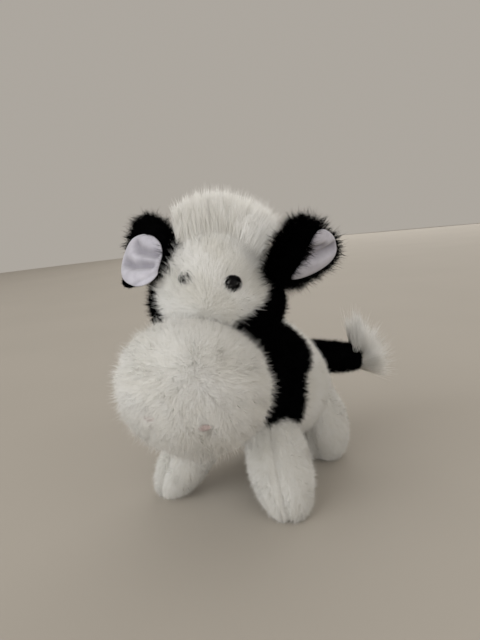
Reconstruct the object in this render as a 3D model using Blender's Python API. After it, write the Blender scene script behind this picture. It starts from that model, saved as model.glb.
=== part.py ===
"""A small standing plush cow, built as its sewn skins, stuffing, eyes, ears and tail.

The cow faces -Y, its left side is +X, and it stands on z = 0. Lengths are in metres.
"""

import math

import bmesh
import bpy
from mathutils import Matrix, Vector

# Where the trunk stands, so that the whole toy is centred on the origin
STAND_X = -0.0077
STAND_Y = 0.0023

# Clearances and walls that all pieces share
SEAM_GAP = 0.0003
TURNING_GAP = 0.0006
SKIN_WALL = 0.0030
SOLE_PRESS = 0.0005
OVERRUN = 0.012

# Trunk
BODY_LENGTH = 0.095
BODY_WIDTH = 0.062
BODY_HEIGHT = 0.075
BODY_MIDDLE_Y = 0.0005
BODY_MIDDLE_Z = 0.060
BODY_SLOPE = 0.020
BODY_FULLNESS_SHARE = 0.78
BODY_HIP_SHARE = 0.10
BODY_TENT_SHARE = 0.20
BODY_DROP_SHARE = 0.05
BELLY_GUSSET_WIDTH = 0.024
BELLY_GUSSET_HEIGHT = 0.040

# Neck that the head turns on
NECK_DIAMETER = 0.038
NECK_HEIGHT = 0.032
NECK_Y = -0.0300
NECK_Z = 0.0955
HEAD_TURN_DEGREES = 10.0
HEAD_SWEEP_COPIES = 4

# Head
HEAD_WIDTH = 0.061
HEAD_DEPTH = 0.051
HEAD_HEIGHT = 0.060
HEAD_Y = -0.0405
HEAD_Z = 0.1170
HEAD_FULLNESS_SHARE = 0.92
HEAD_CROWN_SHARE = 0.12
HEAD_REST_TURN_DEGREES = 29.0
HEAD_REST_TILT_DEGREES = 12.0

# Muzzle
MUZZLE_WIDTH = 0.063
MUZZLE_DEPTH = 0.053
MUZZLE_HEIGHT = 0.054
MUZZLE_Y = -0.0745
MUZZLE_Z = 0.0800
MUZZLE_FULLNESS_SHARE = 0.93

# Legs
LEG_DIAMETER = 0.0325
LEG_LENGTH = 0.0500
LEG_FULLNESS_SHARE = 0.80
LEG_SEAM_DRAW = 0.0016
FRONT_LEFT_FOOT = (0.0335, -0.0280)
FRONT_RIGHT_FOOT = (-0.0385, -0.0430)
REAR_LEFT_FOOT = (0.0200, 0.0365)
REAR_RIGHT_FOOT = (-0.0200, 0.0365)
FRONT_LEFT_HIP = (0.0180, -0.0180)
FRONT_RIGHT_HIP = (-0.0190, -0.0200)
REAR_LEFT_HIP = (0.0180, 0.0280)
REAR_RIGHT_HIP = (-0.0180, 0.0280)
FRONT_LEFT_TOE_OUT_DEGREES = 30.0
FRONT_RIGHT_TOE_OUT_DEGREES = 4.0
REAR_TOE_OUT_DEGREES = 10.0

# Ears
EAR_LENGTH = 0.0320
EAR_WIDTH = 0.0360
EAR_THICKNESS = 0.0085
EAR_CUP = 0.0045
EAR_ROOT_DIAMETER = 0.011
EAR_SINK = 0.0020
EAR_LINING_THICKNESS = 0.0024
EAR_LINING_LIFT = 0.0006
EAR_LINING_SHIFT = 0.0032
EAR_FOLD_DEPTH = 0.0010
EAR_LINING_WIDTH_SHARE = 0.68
EAR_LINING_LENGTH_SHARE = 0.82
EAR_LINING_START_SHARE = 0.7
EAR_LEAF_FULLNESS_SHARE = 0.75
EAR_LEAF_ROOT_SHARE = 0.78
EAR_LEAF_TIP_SHARE = 0.44
EAR_EDGE_FULLNESS_SHARE = 0.6
# Each ear's side, then degrees: root below the crown and round from the front, then
# rise, sweep to the front and twist of the ear
EAR_POSES = {
    "left": (1.0, 75.0, 65.0, 66.0, 12.0, 52.0),
    "right": (-1.0, 57.0, 49.0, -10.0, -31.0, -28.0),
}

# Forelock
FORELOCK_WIDTH = 0.046
FORELOCK_DEPTH = 0.018
FORELOCK_HEIGHT = 0.036
FORELOCK_Y = -0.0400
FORELOCK_Z = 0.1460
FORELOCK_LOCKS = 6
FORELOCK_LOCK_DEPTH_SHARE = 0.07
FORELOCK_FULLNESS_SHARE = 0.8

# Tail
TAIL_DIAMETER = 0.0195
TAIL_LENGTH = 0.0355
TAIL_SINK = 0.0020
TAIL_POLAR_DEGREES = 174.0
TAIL_BEND_DEGREES = 52.0
TAIL_DROOP_DEGREES = 6.0
TAIL_END_SHARE = 0.35
TUFT_LENGTH = 0.0165
TUFT_DIAMETER = 0.0320
TUFT_ROOT_DEPTH = 0.0050
TUFT_LIFT_DEGREES = 44.0
TUFT_LOCKS = 6
TUFT_LOCK_DEPTH_SHARE = 0.12
TUFT_ROOT_SHARE = 0.46
TUFT_FLARE_SHARE = 0.62
TUFT_FULLNESS_SHARE = 0.7

# Eyes and their washers
EYE_DIAMETER = 0.0082
EYE_BULGE = 0.0034
EYE_RIM = 0.0006
EYE_SINK = 0.0014
EYE_POLAR_DEGREES = 73.0
EYE_TURN_DEGREES = 22.0
SHANK_DIAMETER = 0.0026
SHANK_LENGTH = 0.0085
WASHER_DIAMETER = 0.0100
WASHER_THICKNESS = 0.0012
WASHER_SINK = 0.0009

# Nostrils
NOSTRIL_LENGTH = 0.0064
NOSTRIL_WIDTH = 0.0030
NOSTRIL_THICKNESS = 0.0018
NOSTRIL_POLAR_DEGREES = 104.0
NOSTRIL_TURN_DEGREES = 21.0

# Facet counts
FRAME_STEP_DEGREES = 1.0
SKIN_FACETS = 24
SKIN_RINGS = 12
LEG_FACETS = 16
LEG_RINGS = 10
EAR_FACETS = 16
EAR_RINGS = 8
TAIL_FACETS = 14
TAIL_RINGS = 8
TRIM_FACETS = 12
OUTLINE_STEPS = 3
NOSTRIL_FACETS = 8
NOSTRIL_RINGS = 6
FORELOCK_FACETS = 48
FORELOCK_RINGS = 8
TUFT_FACETS = 24

# Flank patch: shares of the trunk's length and height from its middle, front to back
PATCH_OUTLINE_SHARES = (
    (-0.56, 0.20), (-0.40, 0.40), (-0.12, 0.48), (0.07, 0.43), (0.20, 0.25), (0.13, 0.12),
    (0.02, 0.07), (-0.03, -0.05), (-0.045, -0.19), (-0.14, -0.28), (-0.24, -0.25), (-0.33, -0.10),
)
# Face panel: shares of the head's width and height from its middle, right half from the top
FACE_OUTLINE_SHARES = (
    (0.0, 0.62), (0.22, 0.57), (0.32, 0.36), (0.38, 0.13), (0.36, -0.02), (0.27, -0.11), (0.17, -0.20),
    (0.09, -0.34), (0.0, -0.42),
)
FACE_BACK_SHARE = 0.16

# Colours, roughness and metallic of the finishes
FINISHES = {
    "white_plush": ((0.86, 0.86, 0.83), 0.95, 0.0),
    "black_plush": ((0.012, 0.012, 0.013), 0.95, 0.0),
    "ear_lining": ((0.74, 0.73, 0.79), 0.80, 0.0),
    "long_pile": ((0.88, 0.87, 0.83), 0.90, 0.0),
    "eye_plastic": ((0.010, 0.010, 0.012), 0.12, 0.0),
    "nostril_thread": ((0.56, 0.42, 0.43), 0.75, 0.0),
    "washer_plastic": ((0.80, 0.80, 0.78), 0.45, 0.0),
    "stuffing": ((0.90, 0.90, 0.88), 1.0, 0.0),
}


def clear_scene():
    """Remove whatever the scene held before."""
    for old in list(bpy.data.objects):
        bpy.data.objects.remove(old, do_unlink=True)


def finish_material(piece_name, finish):
    """Make a piece's own Principled material from its finish."""
    colour, roughness, metallic = FINISHES[finish]
    material = bpy.data.materials.new(piece_name + "_" + finish)
    material.use_nodes = True
    shader = material.node_tree.nodes["Principled BSDF"]
    shader.inputs["Base Color"].default_value = (*colour, 1.0)
    shader.inputs["Roughness"].default_value = roughness
    shader.inputs["Metallic"].default_value = metallic
    return material


def object_from(bm, name, finish=None):
    """Turn a bmesh into an object, as a cutter unless it has a finish."""
    bmesh.ops.triangulate(bm, faces=bm.faces)
    bmesh.ops.recalc_face_normals(bm, faces=bm.faces)
    if bm.calc_volume(signed=True) < 0.0:
        bmesh.ops.reverse_faces(bm, faces=bm.faces)
    mesh = bpy.data.meshes.new(name)
    bm.to_mesh(mesh)
    bm.free()
    piece = bpy.data.objects.new(name, mesh)
    bpy.context.scene.collection.objects.link(piece)
    if finish is None:
        piece.hide_render = True
        piece.display_type = "WIRE"
    else:
        mesh.materials.append(finish_material(name, finish))
        mesh.shade_smooth()
    return piece


def swollen_form(name, place, facets, rings, finish=None):
    """Draw a sphere's rings out to place(polar, turn), so poles and seams stay closed."""
    bm = bmesh.new()
    bmesh.ops.create_uvsphere(bm, u_segments=facets, v_segments=rings, radius=1.0)
    for vert in bm.verts:
        polar = math.acos(max(-1.0, min(1.0, vert.co.z)))
        turn = math.atan2(vert.co.y, vert.co.x)
        vert.co = place(polar, turn)
    return object_from(bm, name, finish)


def turned_form(name, profile, frame, finish=None):
    """Spin a profile of (radius, height) points round the frame's own Z axis."""
    bm = bmesh.new()
    verts = [bm.verts.new((radius, 0.0, height)) for radius, height in profile]
    edges = [bm.edges.new(pair) for pair in zip(verts, verts[1:])]
    if profile[0][0] > 0.0 and profile[-1][0] > 0.0:
        edges.append(bm.edges.new((verts[-1], verts[0])))
    bmesh.ops.spin(bm, geom=verts + edges, cent=(0.0, 0.0, 0.0), axis=(0.0, 0.0, 1.0),
                   angle=math.tau, steps=TRIM_FACETS, use_merge=True)
    bmesh.ops.remove_doubles(bm, verts=bm.verts, dist=SEAM_GAP / TRIM_FACETS)
    bmesh.ops.transform(bm, matrix=frame, verts=bm.verts)
    return object_from(bm, name, finish)


def prism(name, outline, depth_axis, low, high, frame=None):
    """Extrude a flat outline of (first, second) places along the third axis, as a cutter."""
    bm = bmesh.new()
    verts = []
    for first, second in outline:
        place = [first, second]
        place.insert(depth_axis, low)
        verts.append(bm.verts.new(place))
    face = bm.faces.new(verts)
    side = bmesh.ops.extrude_face_region(bm, geom=[face])
    moved = [item for item in side["geom"] if isinstance(item, bmesh.types.BMVert)]
    reach = [0.0, 0.0, 0.0]
    reach[depth_axis] = high - low
    bmesh.ops.translate(bm, vec=reach, verts=moved)
    if frame is not None:
        bmesh.ops.transform(bm, matrix=frame, verts=bm.verts)
    return object_from(bm, name)


def smooth_outline(points):
    """Run a closed smooth curve through an outline's few points."""
    curve = []
    count = len(points)
    for index in range(count):
        before, start, end, after = (Vector(points[(index + step) % count]) for step in (-1, 0, 1, 2))
        for step in range(OUTLINE_STEPS):
            t = step / OUTLINE_STEPS
            curve.append(tuple(0.5 * (
                2.0 * start + (end - before) * t
                + (2.0 * before - 5.0 * start + 4.0 * end - after) * t ** 2
                + (3.0 * start - before - 3.0 * end + after) * t ** 3
            )))
    return curve


def grown_outline(outline, gap):
    """Move each point of an outline away from the outline's inside by the gap."""
    count = len(outline)
    area = sum(outline[i][0] * outline[(i + 1) % count][1] - outline[(i + 1) % count][0] * outline[i][1]
               for i in range(count))
    side = math.copysign(1.0, area)
    grown = []
    for index in range(count):
        along = Vector(outline[(index + 1) % count]) - Vector(outline[index - 1])
        away = Vector((along.y, -along.x)).normalized() * side
        grown.append(tuple(Vector(outline[index]) + away * gap))
    return grown


def combine(piece, tool, operation="DIFFERENCE"):
    """Cut a piece by a tool, or join or intersect them."""
    change = piece.modifiers.new(operation.lower() + "_" + tool.name, "BOOLEAN")
    change.operation = operation
    change.solver = "EXACT"
    change.object = tool


def cut_by(piece, *tools):
    """Cut a piece by each tool in turn."""
    for tool in tools:
        combine(piece, tool)


def surface_frame(place, polar, turn):
    """The frame on a form's surface: its origin there and its Z axis pointing out."""
    step = math.radians(FRAME_STEP_DEGREES)
    down = place(polar + step, turn) - place(polar - step, turn)
    round_way = place(polar, turn + step) - place(polar, turn - step)
    out = round_way.cross(down).normalized()
    middle = place(math.pi / 2.0, turn) + place(math.pi / 2.0, turn + math.pi)
    if out.dot(place(polar, turn) - middle / 2.0) < 0.0:
        out.negate()
    across = Vector((0.0, 0.0, 1.0)).cross(out).normalized()
    frame = Matrix((across, out.cross(across), out)).transposed().to_4x4()
    return Matrix.Translation(place(polar, turn)) @ frame


# Trunk
def body_place(polar, turn, inset=0.0):
    """A point of the trunk, front pole to rear pole, with turn 0 along the spine."""
    along = -math.cos(polar)
    swell = math.sin(polar) ** BODY_FULLNESS_SHARE
    upright = math.cos(turn)
    width = (BODY_WIDTH / 2.0 - inset) * (1.0 + BODY_HIP_SHARE * along) * (1.0 - BODY_TENT_SHARE * upright)
    height = (BODY_HEIGHT / 2.0 - inset) * (1.0 - BODY_DROP_SHARE * along)
    return Vector((
        width * swell * math.sin(turn),
        BODY_MIDDLE_Y + (BODY_LENGTH / 2.0 - inset) * along,
        BODY_MIDDLE_Z - BODY_SLOPE / 2.0 * along + height * swell * upright,
    ))


def body_form(name, inset, finish=None):
    """The trunk's form, smaller by an inset."""
    return swollen_form(name, lambda p, t: body_place(p, t, inset), SKIN_FACETS, SKIN_RINGS, finish)


def neck_profile(gap):
    """Half of the neck plug's round outline, with a gap round it."""
    radius = NECK_DIAMETER / 2.0 + gap
    half_height = NECK_HEIGHT / 2.0 + gap
    rings = SKIN_RINGS // 2
    points = [(radius * math.sin(math.pi * ring / rings), half_height * math.cos(math.pi * ring / rings))
              for ring in range(1, rings)]
    return [(0.0, half_height)] + points + [(0.0, -half_height)]


def neck_frame():
    """The neck's axis, which the head turns on."""
    return Matrix.Translation((0.0, NECK_Y, NECK_Z))


def head_pose():
    """The turn and tilt that the head rests at, about the neck."""
    turn = Matrix.Rotation(math.radians(HEAD_REST_TURN_DEGREES), 4, "Z")
    tilt = Matrix.Rotation(math.radians(HEAD_REST_TILT_DEGREES), 4, "Y")
    return neck_frame() @ turn @ tilt @ neck_frame().inverted()


def head_sweep():
    """The room that the head and muzzle need as the head turns from stop to stop."""
    limit = math.radians(HEAD_TURN_DEGREES)
    sweep = None
    for copy in range(HEAD_SWEEP_COPIES):
        angle = limit * (2.0 * copy / (HEAD_SWEEP_COPIES - 1) - 1.0)
        for place, kind in ((head_place, "head"), (muzzle_place, "muzzle")):
            form = swollen_form(kind + "_room_" + str(copy), lambda p, t: place(p, t, -TURNING_GAP),
                                SKIN_FACETS, SKIN_RINGS)
            turn = neck_frame() @ Matrix.Rotation(angle, 4, "Z") @ neck_frame().inverted()
            form.data.transform(turn)
            if sweep is None:
                sweep = form
            else:
                combine(sweep, form, "UNION")
    return sweep


def flank_outline():
    """The flank patch's outline in the side view, from the trunk's own sizes."""
    return smooth_outline([
        (BODY_MIDDLE_Y + along * BODY_LENGTH, BODY_MIDDLE_Z + up * BODY_HEIGHT)
        for along, up in PATCH_OUTLINE_SHARES
    ])


def half_space(name, side, gap, frame=None):
    """A block on one side of the middle plane, short of it by a gap."""
    reach = BODY_WIDTH / 2.0 + OVERRUN
    rear = BODY_MIDDLE_Y + BODY_LENGTH + OVERRUN
    front = HEAD_Y - HEAD_DEPTH - OVERRUN
    top = HEAD_Z + HEAD_HEIGHT
    outline = ((front, -OVERRUN), (rear, -OVERRUN), (rear, top), (front, top))
    low, high = sorted((side * gap, side * (gap + reach)))
    return prism(name, outline, 0, low, high, frame)


def belly_outline():
    """The belly gusset's leaf outline from below."""
    half_width = BELLY_GUSSET_WIDTH / 2.0
    half_length = BODY_LENGTH / 2.0
    right = [(half_width * math.sin(math.pi * step / OUTLINE_STEPS / 2.0),
              BODY_MIDDLE_Y - half_length * math.cos(math.pi * step / OUTLINE_STEPS / 2.0))
             for step in range(1, 2 * OUTLINE_STEPS)]
    left = [(-x, y) for x, y in reversed(right)]
    return ([(0.0, BODY_MIDDLE_Y - half_length)] + right
            + [(0.0, BODY_MIDDLE_Y + half_length)] + left)


def make_trunk(sweep, *sockets):
    """Side panels, flank patches, belly gusset, neck and stuffing of the trunk."""
    hollow = body_form("body_hollow", SKIN_WALL)
    neck_room = turned_form("neck_room", neck_profile(TURNING_GAP), neck_frame())
    belly = belly_outline()
    belly_tool = prism("belly_tool", belly, 2, -OVERRUN, BELLY_GUSSET_HEIGHT)
    belly_room = prism("belly_room", grown_outline(belly, SEAM_GAP), 2, -OVERRUN,
                       BELLY_GUSSET_HEIGHT + SEAM_GAP)
    patch = flank_outline()
    reach = BODY_WIDTH / 2.0 + OVERRUN
    pieces = []
    for side, side_name in ((1.0, "left"), (-1.0, "right")):
        half = half_space("half_" + side_name, side, SEAM_GAP / 2.0)
        low, high = sorted((side * SEAM_GAP, side * reach))
        patch_tool = prism("patch_tool_" + side_name, patch, 0, low, high)
        low, high = sorted((0.0, side * (reach + SEAM_GAP)))
        patch_room = prism("patch_room_" + side_name, grown_outline(patch, SEAM_GAP), 0, low, high)
        panel = body_form("body_panel_" + side_name, 0.0, "white_plush")
        cut_by(panel, hollow, sweep, neck_room)
        combine(panel, half, "INTERSECT")
        cut_by(panel, patch_room, belly_room, *sockets)
        flank = body_form("flank_patch_" + side_name, 0.0, "black_plush")
        cut_by(flank, hollow, sweep, neck_room)
        combine(flank, patch_tool, "INTERSECT")
        pieces += [panel, flank]
    gusset = body_form("belly_gusset", 0.0, "white_plush")
    cut_by(gusset, hollow, sweep, neck_room)
    combine(gusset, belly_tool, "INTERSECT")
    neck = turned_form("neck_skin", neck_profile(0.0), neck_frame(), "white_plush")
    cut_by(neck, turned_form("neck_hollow", neck_profile(-SKIN_WALL), neck_frame()), hollow)
    stuffing = body_form("body_stuffing", SKIN_WALL + SEAM_GAP, "stuffing")
    cut_by(stuffing, sweep, *sockets)
    plug = turned_form("neck_plug", neck_profile(-SKIN_WALL - SEAM_GAP), neck_frame())
    combine(stuffing, plug, "UNION")
    pieces += [gusset, neck, stuffing]
    return pieces


# Legs
def leg_place(polar, turn, side, foot, hip, toe_out, inset=0.0):
    """A point of a leg, top pole to sole, with turn 0 at the seam down its front."""
    upright = math.cos(polar)
    swell = math.sin(polar) ** LEG_FULLNESS_SHARE
    lean = (upright + 1.0) / 2.0
    middle = Vector(foot).lerp(Vector(hip), lean)
    radius = (LEG_DIAMETER / 2.0 - inset) * swell
    if abs(turn) < math.pi / LEG_FACETS:
        radius -= LEG_SEAM_DRAW * swell * (1.0 - lean)
    facing = math.radians(-90.0 + side * toe_out) + turn
    return Vector((
        middle.x + radius * math.cos(facing),
        middle.y + radius * math.sin(facing),
        LEG_LENGTH / 2.0 - SOLE_PRESS + (LEG_LENGTH / 2.0 - inset) * upright,
    ))


def leg_places():
    """Each leg's name with its side, foot, hip and toe angle."""
    return (
        ("leg_front_left", 1.0, FRONT_LEFT_FOOT, FRONT_LEFT_HIP, FRONT_LEFT_TOE_OUT_DEGREES),
        ("leg_front_right", -1.0, FRONT_RIGHT_FOOT, FRONT_RIGHT_HIP, FRONT_RIGHT_TOE_OUT_DEGREES),
        ("leg_rear_left", 1.0, REAR_LEFT_FOOT, REAR_LEFT_HIP, REAR_TOE_OUT_DEGREES),
        ("leg_rear_right", -1.0, REAR_RIGHT_FOOT, REAR_RIGHT_HIP, REAR_TOE_OUT_DEGREES),
    )


def leg_form(name, inset, facets, rings, leg, finish=None):
    """A leg's form, smaller by an inset."""
    return swollen_form(name, lambda p, t: leg_place(p, t, *leg, inset), facets, rings, finish)


def make_legs(sweep):
    """Leg skins, open at the hip, and their stuffing, pressed flat at the sole."""
    body_room = body_form("body_room", -SEAM_GAP)
    reach = BODY_LENGTH + OVERRUN
    ground = prism("ground", ((-reach, -reach), (reach, -reach), (reach, reach), (-reach, reach)),
                   2, -OVERRUN, 0.0)
    pieces = []
    for name, *leg in leg_places():
        hollow = leg_form(name + "_hollow", SKIN_WALL, LEG_FACETS, LEG_RINGS, leg)
        skin = leg_form(name, 0.0, LEG_FACETS, LEG_RINGS, leg, "white_plush")
        cut_by(skin, hollow, body_room, sweep, ground)
        stuffing = leg_form(name + "_stuffing", SKIN_WALL + SEAM_GAP, LEG_FACETS, LEG_RINGS, leg, "stuffing")
        cut_by(stuffing, body_room, sweep)
        pieces += [skin, stuffing]
    return pieces


# Head
def head_place(polar, turn, inset=0.0):
    """A point of the head, crown to throat, with turn 0 at the front and 90 degrees at +X."""
    upright = math.cos(polar)
    swell = math.sin(polar) ** HEAD_FULLNESS_SHARE
    return head_pose() @ Vector((
        (HEAD_WIDTH / 2.0 - inset) * swell * (1.0 - HEAD_CROWN_SHARE * upright) * math.sin(turn),
        HEAD_Y - (HEAD_DEPTH / 2.0 - inset) * swell * math.cos(turn),
        HEAD_Z + (HEAD_HEIGHT / 2.0 - inset) * upright,
    ))


def head_form(name, inset, finish=None):
    """The head's form, smaller by an inset."""
    return swollen_form(name, lambda p, t: head_place(p, t, inset), SKIN_FACETS, SKIN_RINGS, finish)


def face_outline():
    """The face panel's outline seen from the front, from the head's own sizes."""
    right = [(x * HEAD_WIDTH, HEAD_Z + z * HEAD_HEIGHT) for x, z in FACE_OUTLINE_SHARES]
    left = [(-x, z) for x, z in reversed(right[1:-1])]
    return smooth_outline(right + left)


def make_head(ear_sockets, eye_holes, washer_pockets):
    """Face panel, black head sides and head stuffing."""
    hollow = head_form("head_hollow", SKIN_WALL)
    neck_room = turned_form("head_neck_room", neck_profile(TURNING_GAP), neck_frame())
    outline = face_outline()
    front = HEAD_Y - HEAD_DEPTH / 2.0 - OVERRUN
    back = HEAD_Y + FACE_BACK_SHARE * HEAD_DEPTH
    face_tool = prism("face_tool", outline, 1, front, back, head_pose())
    face_room = prism("face_room", grown_outline(outline, SEAM_GAP), 1, front - SEAM_GAP,
                      back + SEAM_GAP, head_pose())
    face = head_form("face_panel", 0.0, "white_plush")
    cut_by(face, hollow, neck_room)
    combine(face, face_tool, "INTERSECT")
    cut_by(face, *eye_holes, *ear_sockets)
    pieces = [face]
    for side, side_name in ((1.0, "left"), (-1.0, "right")):
        half = half_space("head_half_" + side_name, side, SEAM_GAP / 2.0, head_pose())
        panel = head_form("head_side_" + side_name, 0.0, "black_plush")
        cut_by(panel, hollow, neck_room)
        combine(panel, half, "INTERSECT")
        cut_by(panel, face_room, *ear_sockets)
        pieces.append(panel)
    stuffing = head_form("head_stuffing", SKIN_WALL + SEAM_GAP, "stuffing")
    cut_by(stuffing, neck_room, *washer_pockets)
    pieces.append(stuffing)
    return pieces


# Muzzle
def muzzle_place(polar, turn, inset=0.0):
    """A point of the muzzle, top to chin, with turn 0 at the front and 90 degrees at +X."""
    upright = math.cos(polar)
    swell = math.sin(polar) ** MUZZLE_FULLNESS_SHARE
    return head_pose() @ Vector((
        (MUZZLE_WIDTH / 2.0 - inset) * swell * math.sin(turn),
        MUZZLE_Y - (MUZZLE_DEPTH / 2.0 - inset) * swell * math.cos(turn),
        MUZZLE_Z + (MUZZLE_HEIGHT / 2.0 - inset) * upright,
    ))


def muzzle_form(name, inset, finish=None):
    """The muzzle's form, smaller by an inset."""
    return swollen_form(name, lambda p, t: muzzle_place(p, t, inset), SKIN_FACETS, SKIN_RINGS, finish)


def make_muzzle():
    """Muzzle skin, open towards the head, its stuffing and the stitched nostrils."""
    hollow = muzzle_form("muzzle_hollow", SKIN_WALL)
    head_room = head_form("head_room", -SEAM_GAP)
    neck_room = turned_form("muzzle_neck_room", neck_profile(TURNING_GAP), neck_frame())
    skin = muzzle_form("muzzle_skin", 0.0, "white_plush")
    cut_by(skin, hollow, head_room, neck_room)
    stuffing = muzzle_form("muzzle_stuffing", SKIN_WALL + SEAM_GAP, "stuffing")
    cut_by(stuffing, head_room, neck_room)
    pieces = [skin, stuffing]
    for side, side_name in ((1.0, "left"), (-1.0, "right")):
        frame = surface_frame(muzzle_place, math.radians(NOSTRIL_POLAR_DEGREES),
                              math.radians(side * NOSTRIL_TURN_DEGREES))
        pieces.append(nostril_form("nostril_" + side_name, frame, 0.0, "nostril_thread"))
        cut_by(skin, nostril_form("nostril_room_" + side_name, frame, SEAM_GAP))
    return pieces


def nostril_form(name, frame, gap, finish=None):
    """A stitched oval, half sunk in the pile."""
    def place(polar, turn):
        size = math.sin(polar)
        return frame @ Vector((
            (NOSTRIL_LENGTH / 2.0 + gap) * size * math.cos(turn),
            (NOSTRIL_WIDTH / 2.0 + gap) * size * math.sin(turn),
            (NOSTRIL_THICKNESS / 2.0 + gap) * math.cos(polar),
        ))
    return swollen_form(name, place, NOSTRIL_FACETS, NOSTRIL_RINGS, finish)


# Eyes
def eye_frame(side):
    """The eye's frame: its origin on the face and its Z axis pointing out."""
    return surface_frame(head_place, math.radians(EYE_POLAR_DEGREES), math.radians(side * EYE_TURN_DEGREES))


def eye_profile(gap):
    """The domed eye and its shank, half outline, top to bottom."""
    radius = EYE_DIAMETER / 2.0 + gap
    base = -EYE_SINK
    rim = base + EYE_RIM
    steps = TRIM_FACETS // 4
    dome = [(radius * math.sin(math.pi / 2.0 * step / steps),
             rim + (EYE_BULGE + gap) * math.cos(math.pi / 2.0 * step / steps)) for step in range(steps + 1)]
    shank = SHANK_DIAMETER / 2.0 + gap
    end = base - SHANK_LENGTH - gap
    return dome + [(radius, base - gap), (shank, base - gap), (shank, end), (0.0, end)]


def washer_profile(gap):
    """The locking washer's section, clear of the shank, just inside the skin."""
    top = -SKIN_WALL - WASHER_SINK + gap
    bottom = -SKIN_WALL - WASHER_SINK - WASHER_THICKNESS - gap
    inner = SHANK_DIAMETER / 2.0 + SEAM_GAP
    outer = WASHER_DIAMETER / 2.0 + gap
    return [(inner, top), (outer, top), (outer, bottom), (inner, bottom)]


def washer_room_profile():
    """The pocket that the washer and the end of the shank need in the stuffing."""
    top = SEAM_GAP - SKIN_WALL
    bottom = washer_profile(SEAM_GAP)[-1][1]
    outer = WASHER_DIAMETER / 2.0 + SEAM_GAP
    shank = SHANK_DIAMETER / 2.0 + SEAM_GAP
    end = -EYE_SINK - SHANK_LENGTH - SEAM_GAP
    return [(0.0, top), (outer, top), (outer, bottom), (shank, bottom), (shank, end), (0.0, end)]


def make_eyes():
    """Eyes and washers, and the holes that they need in the face and the stuffing."""
    pieces, holes, pockets = [], [], []
    for side, side_name in ((1.0, "left"), (-1.0, "right")):
        frame = eye_frame(side)
        pieces.append(turned_form("eye_" + side_name, eye_profile(0.0), frame, "eye_plastic"))
        pieces.append(turned_form("eye_washer_" + side_name, washer_profile(0.0), frame, "washer_plastic"))
        holes.append(turned_form("eye_hole_" + side_name, eye_profile(SEAM_GAP), frame))
        pockets.append(turned_form("washer_pocket_" + side_name, washer_room_profile(), frame))
    return pieces, holes, pockets


# Ears


def ear_frame(side, polar, turn, rise, sweep, twist):
    """The ear's frame: origin in its root, Y along its length and Z out of its lining."""
    root = surface_frame(head_place, math.radians(polar), math.radians(side * turn))
    centre = root @ Vector((0.0, 0.0, EAR_ROOT_DIAMETER / 2.0 - EAR_SINK))
    rise, sweep, twist = math.radians(rise), math.radians(sweep), math.radians(twist)
    length = Vector((side * math.cos(rise) * math.cos(sweep), -math.cos(rise) * math.sin(sweep), math.sin(rise)))
    facing = Vector((0.0, -1.0, 0.0))
    facing = (facing - length * facing.dot(length)).normalized()
    facing = Matrix.Rotation(side * twist, 3, length) @ facing
    across = length.cross(facing)
    axes = Matrix((across, length, facing)).transposed()
    return Matrix.Translation(centre) @ (head_pose().to_3x3() @ axes).to_4x4()


def ear_section(polar, turn, width, length, thickness, shift, gap):
    """A point of a leaf on the ear's cupped middle, in the ear's own frame."""
    along = (1.0 - math.cos(polar)) / 2.0
    leaf = math.sin(polar) ** EAR_LEAF_FULLNESS_SHARE * (EAR_LEAF_ROOT_SHARE + EAR_LEAF_TIP_SHARE * along)
    x = (width / 2.0 + gap) * leaf * math.cos(turn) + shift
    y = length * along + gap * (2.0 * along - 1.0)
    cup = EAR_CUP * (2.0 * x / EAR_WIDTH) ** 2
    edge = math.sin(turn) * math.sin(polar) ** EAR_EDGE_FULLNESS_SHARE
    return x, y, cup + (thickness / 2.0 + gap) * edge


def ear_back_form(name, frame, gap, finish=None):
    """The plush back of the ear, a thick cupped leaf."""
    def place(polar, turn):
        return frame @ Vector(ear_section(polar, turn, EAR_WIDTH, EAR_LENGTH, EAR_THICKNESS, 0.0, gap))
    return swollen_form(name, place, EAR_FACETS, EAR_RINGS, finish)


def ear_lining_form(name, frame, side, gap, finish=None):
    """The smooth lining, a thin leaf near the lower edge with a fold that runs to the root."""
    width = EAR_WIDTH * EAR_LINING_WIDTH_SHARE
    length = EAR_LENGTH * EAR_LINING_LENGTH_SHARE
    start = (EAR_LENGTH - length) * EAR_LINING_START_SHARE
    shift = side * EAR_LINING_SHIFT
    lift = EAR_THICKNESS / 2.0 + EAR_LINING_LIFT

    def place(polar, turn):
        x, y, z = ear_section(polar, turn, width, length, EAR_LINING_THICKNESS, shift, gap)
        fold = EAR_FOLD_DEPTH * math.cos(3.0 * math.pi * (x - shift) / width) * (1.0 - y / EAR_LENGTH)
        return frame @ Vector((x, y + start, z + lift - fold))
    return swollen_form(name, place, EAR_FACETS, EAR_RINGS, finish)


def ball(name, centre, radius, finish=None):
    """A round root that can turn in its socket."""
    def place(polar, turn):
        return centre + Vector((radius * math.sin(polar) * math.cos(turn),
                                radius * math.sin(polar) * math.sin(turn), radius * math.cos(polar)))
    return swollen_form(name, place, TAIL_FACETS, TAIL_RINGS, finish)


def make_ears():
    """Ear backs and linings by side, and the sockets that their roots need in the head."""
    ears = {}
    sockets = []
    for side_name, pose in EAR_POSES.items():
        frame = ear_frame(*pose)
        centre = frame.to_translation()
        back = ear_back_form("ear_back_" + side_name, frame, 0.0, "black_plush")
        root = ball("ear_root_" + side_name, centre, EAR_ROOT_DIAMETER / 2.0)
        combine(back, root, "UNION")
        cut_by(back, ear_lining_form("lining_room_" + side_name, frame, pose[0], SEAM_GAP))
        lining = ear_lining_form("ear_lining_" + side_name, frame, pose[0], 0.0, "ear_lining")
        ears[side_name] = (centre, [back, lining])
        sockets.append(ball("ear_socket_" + side_name, centre, EAR_ROOT_DIAMETER / 2.0 + TURNING_GAP))
    return ears, sockets


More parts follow.
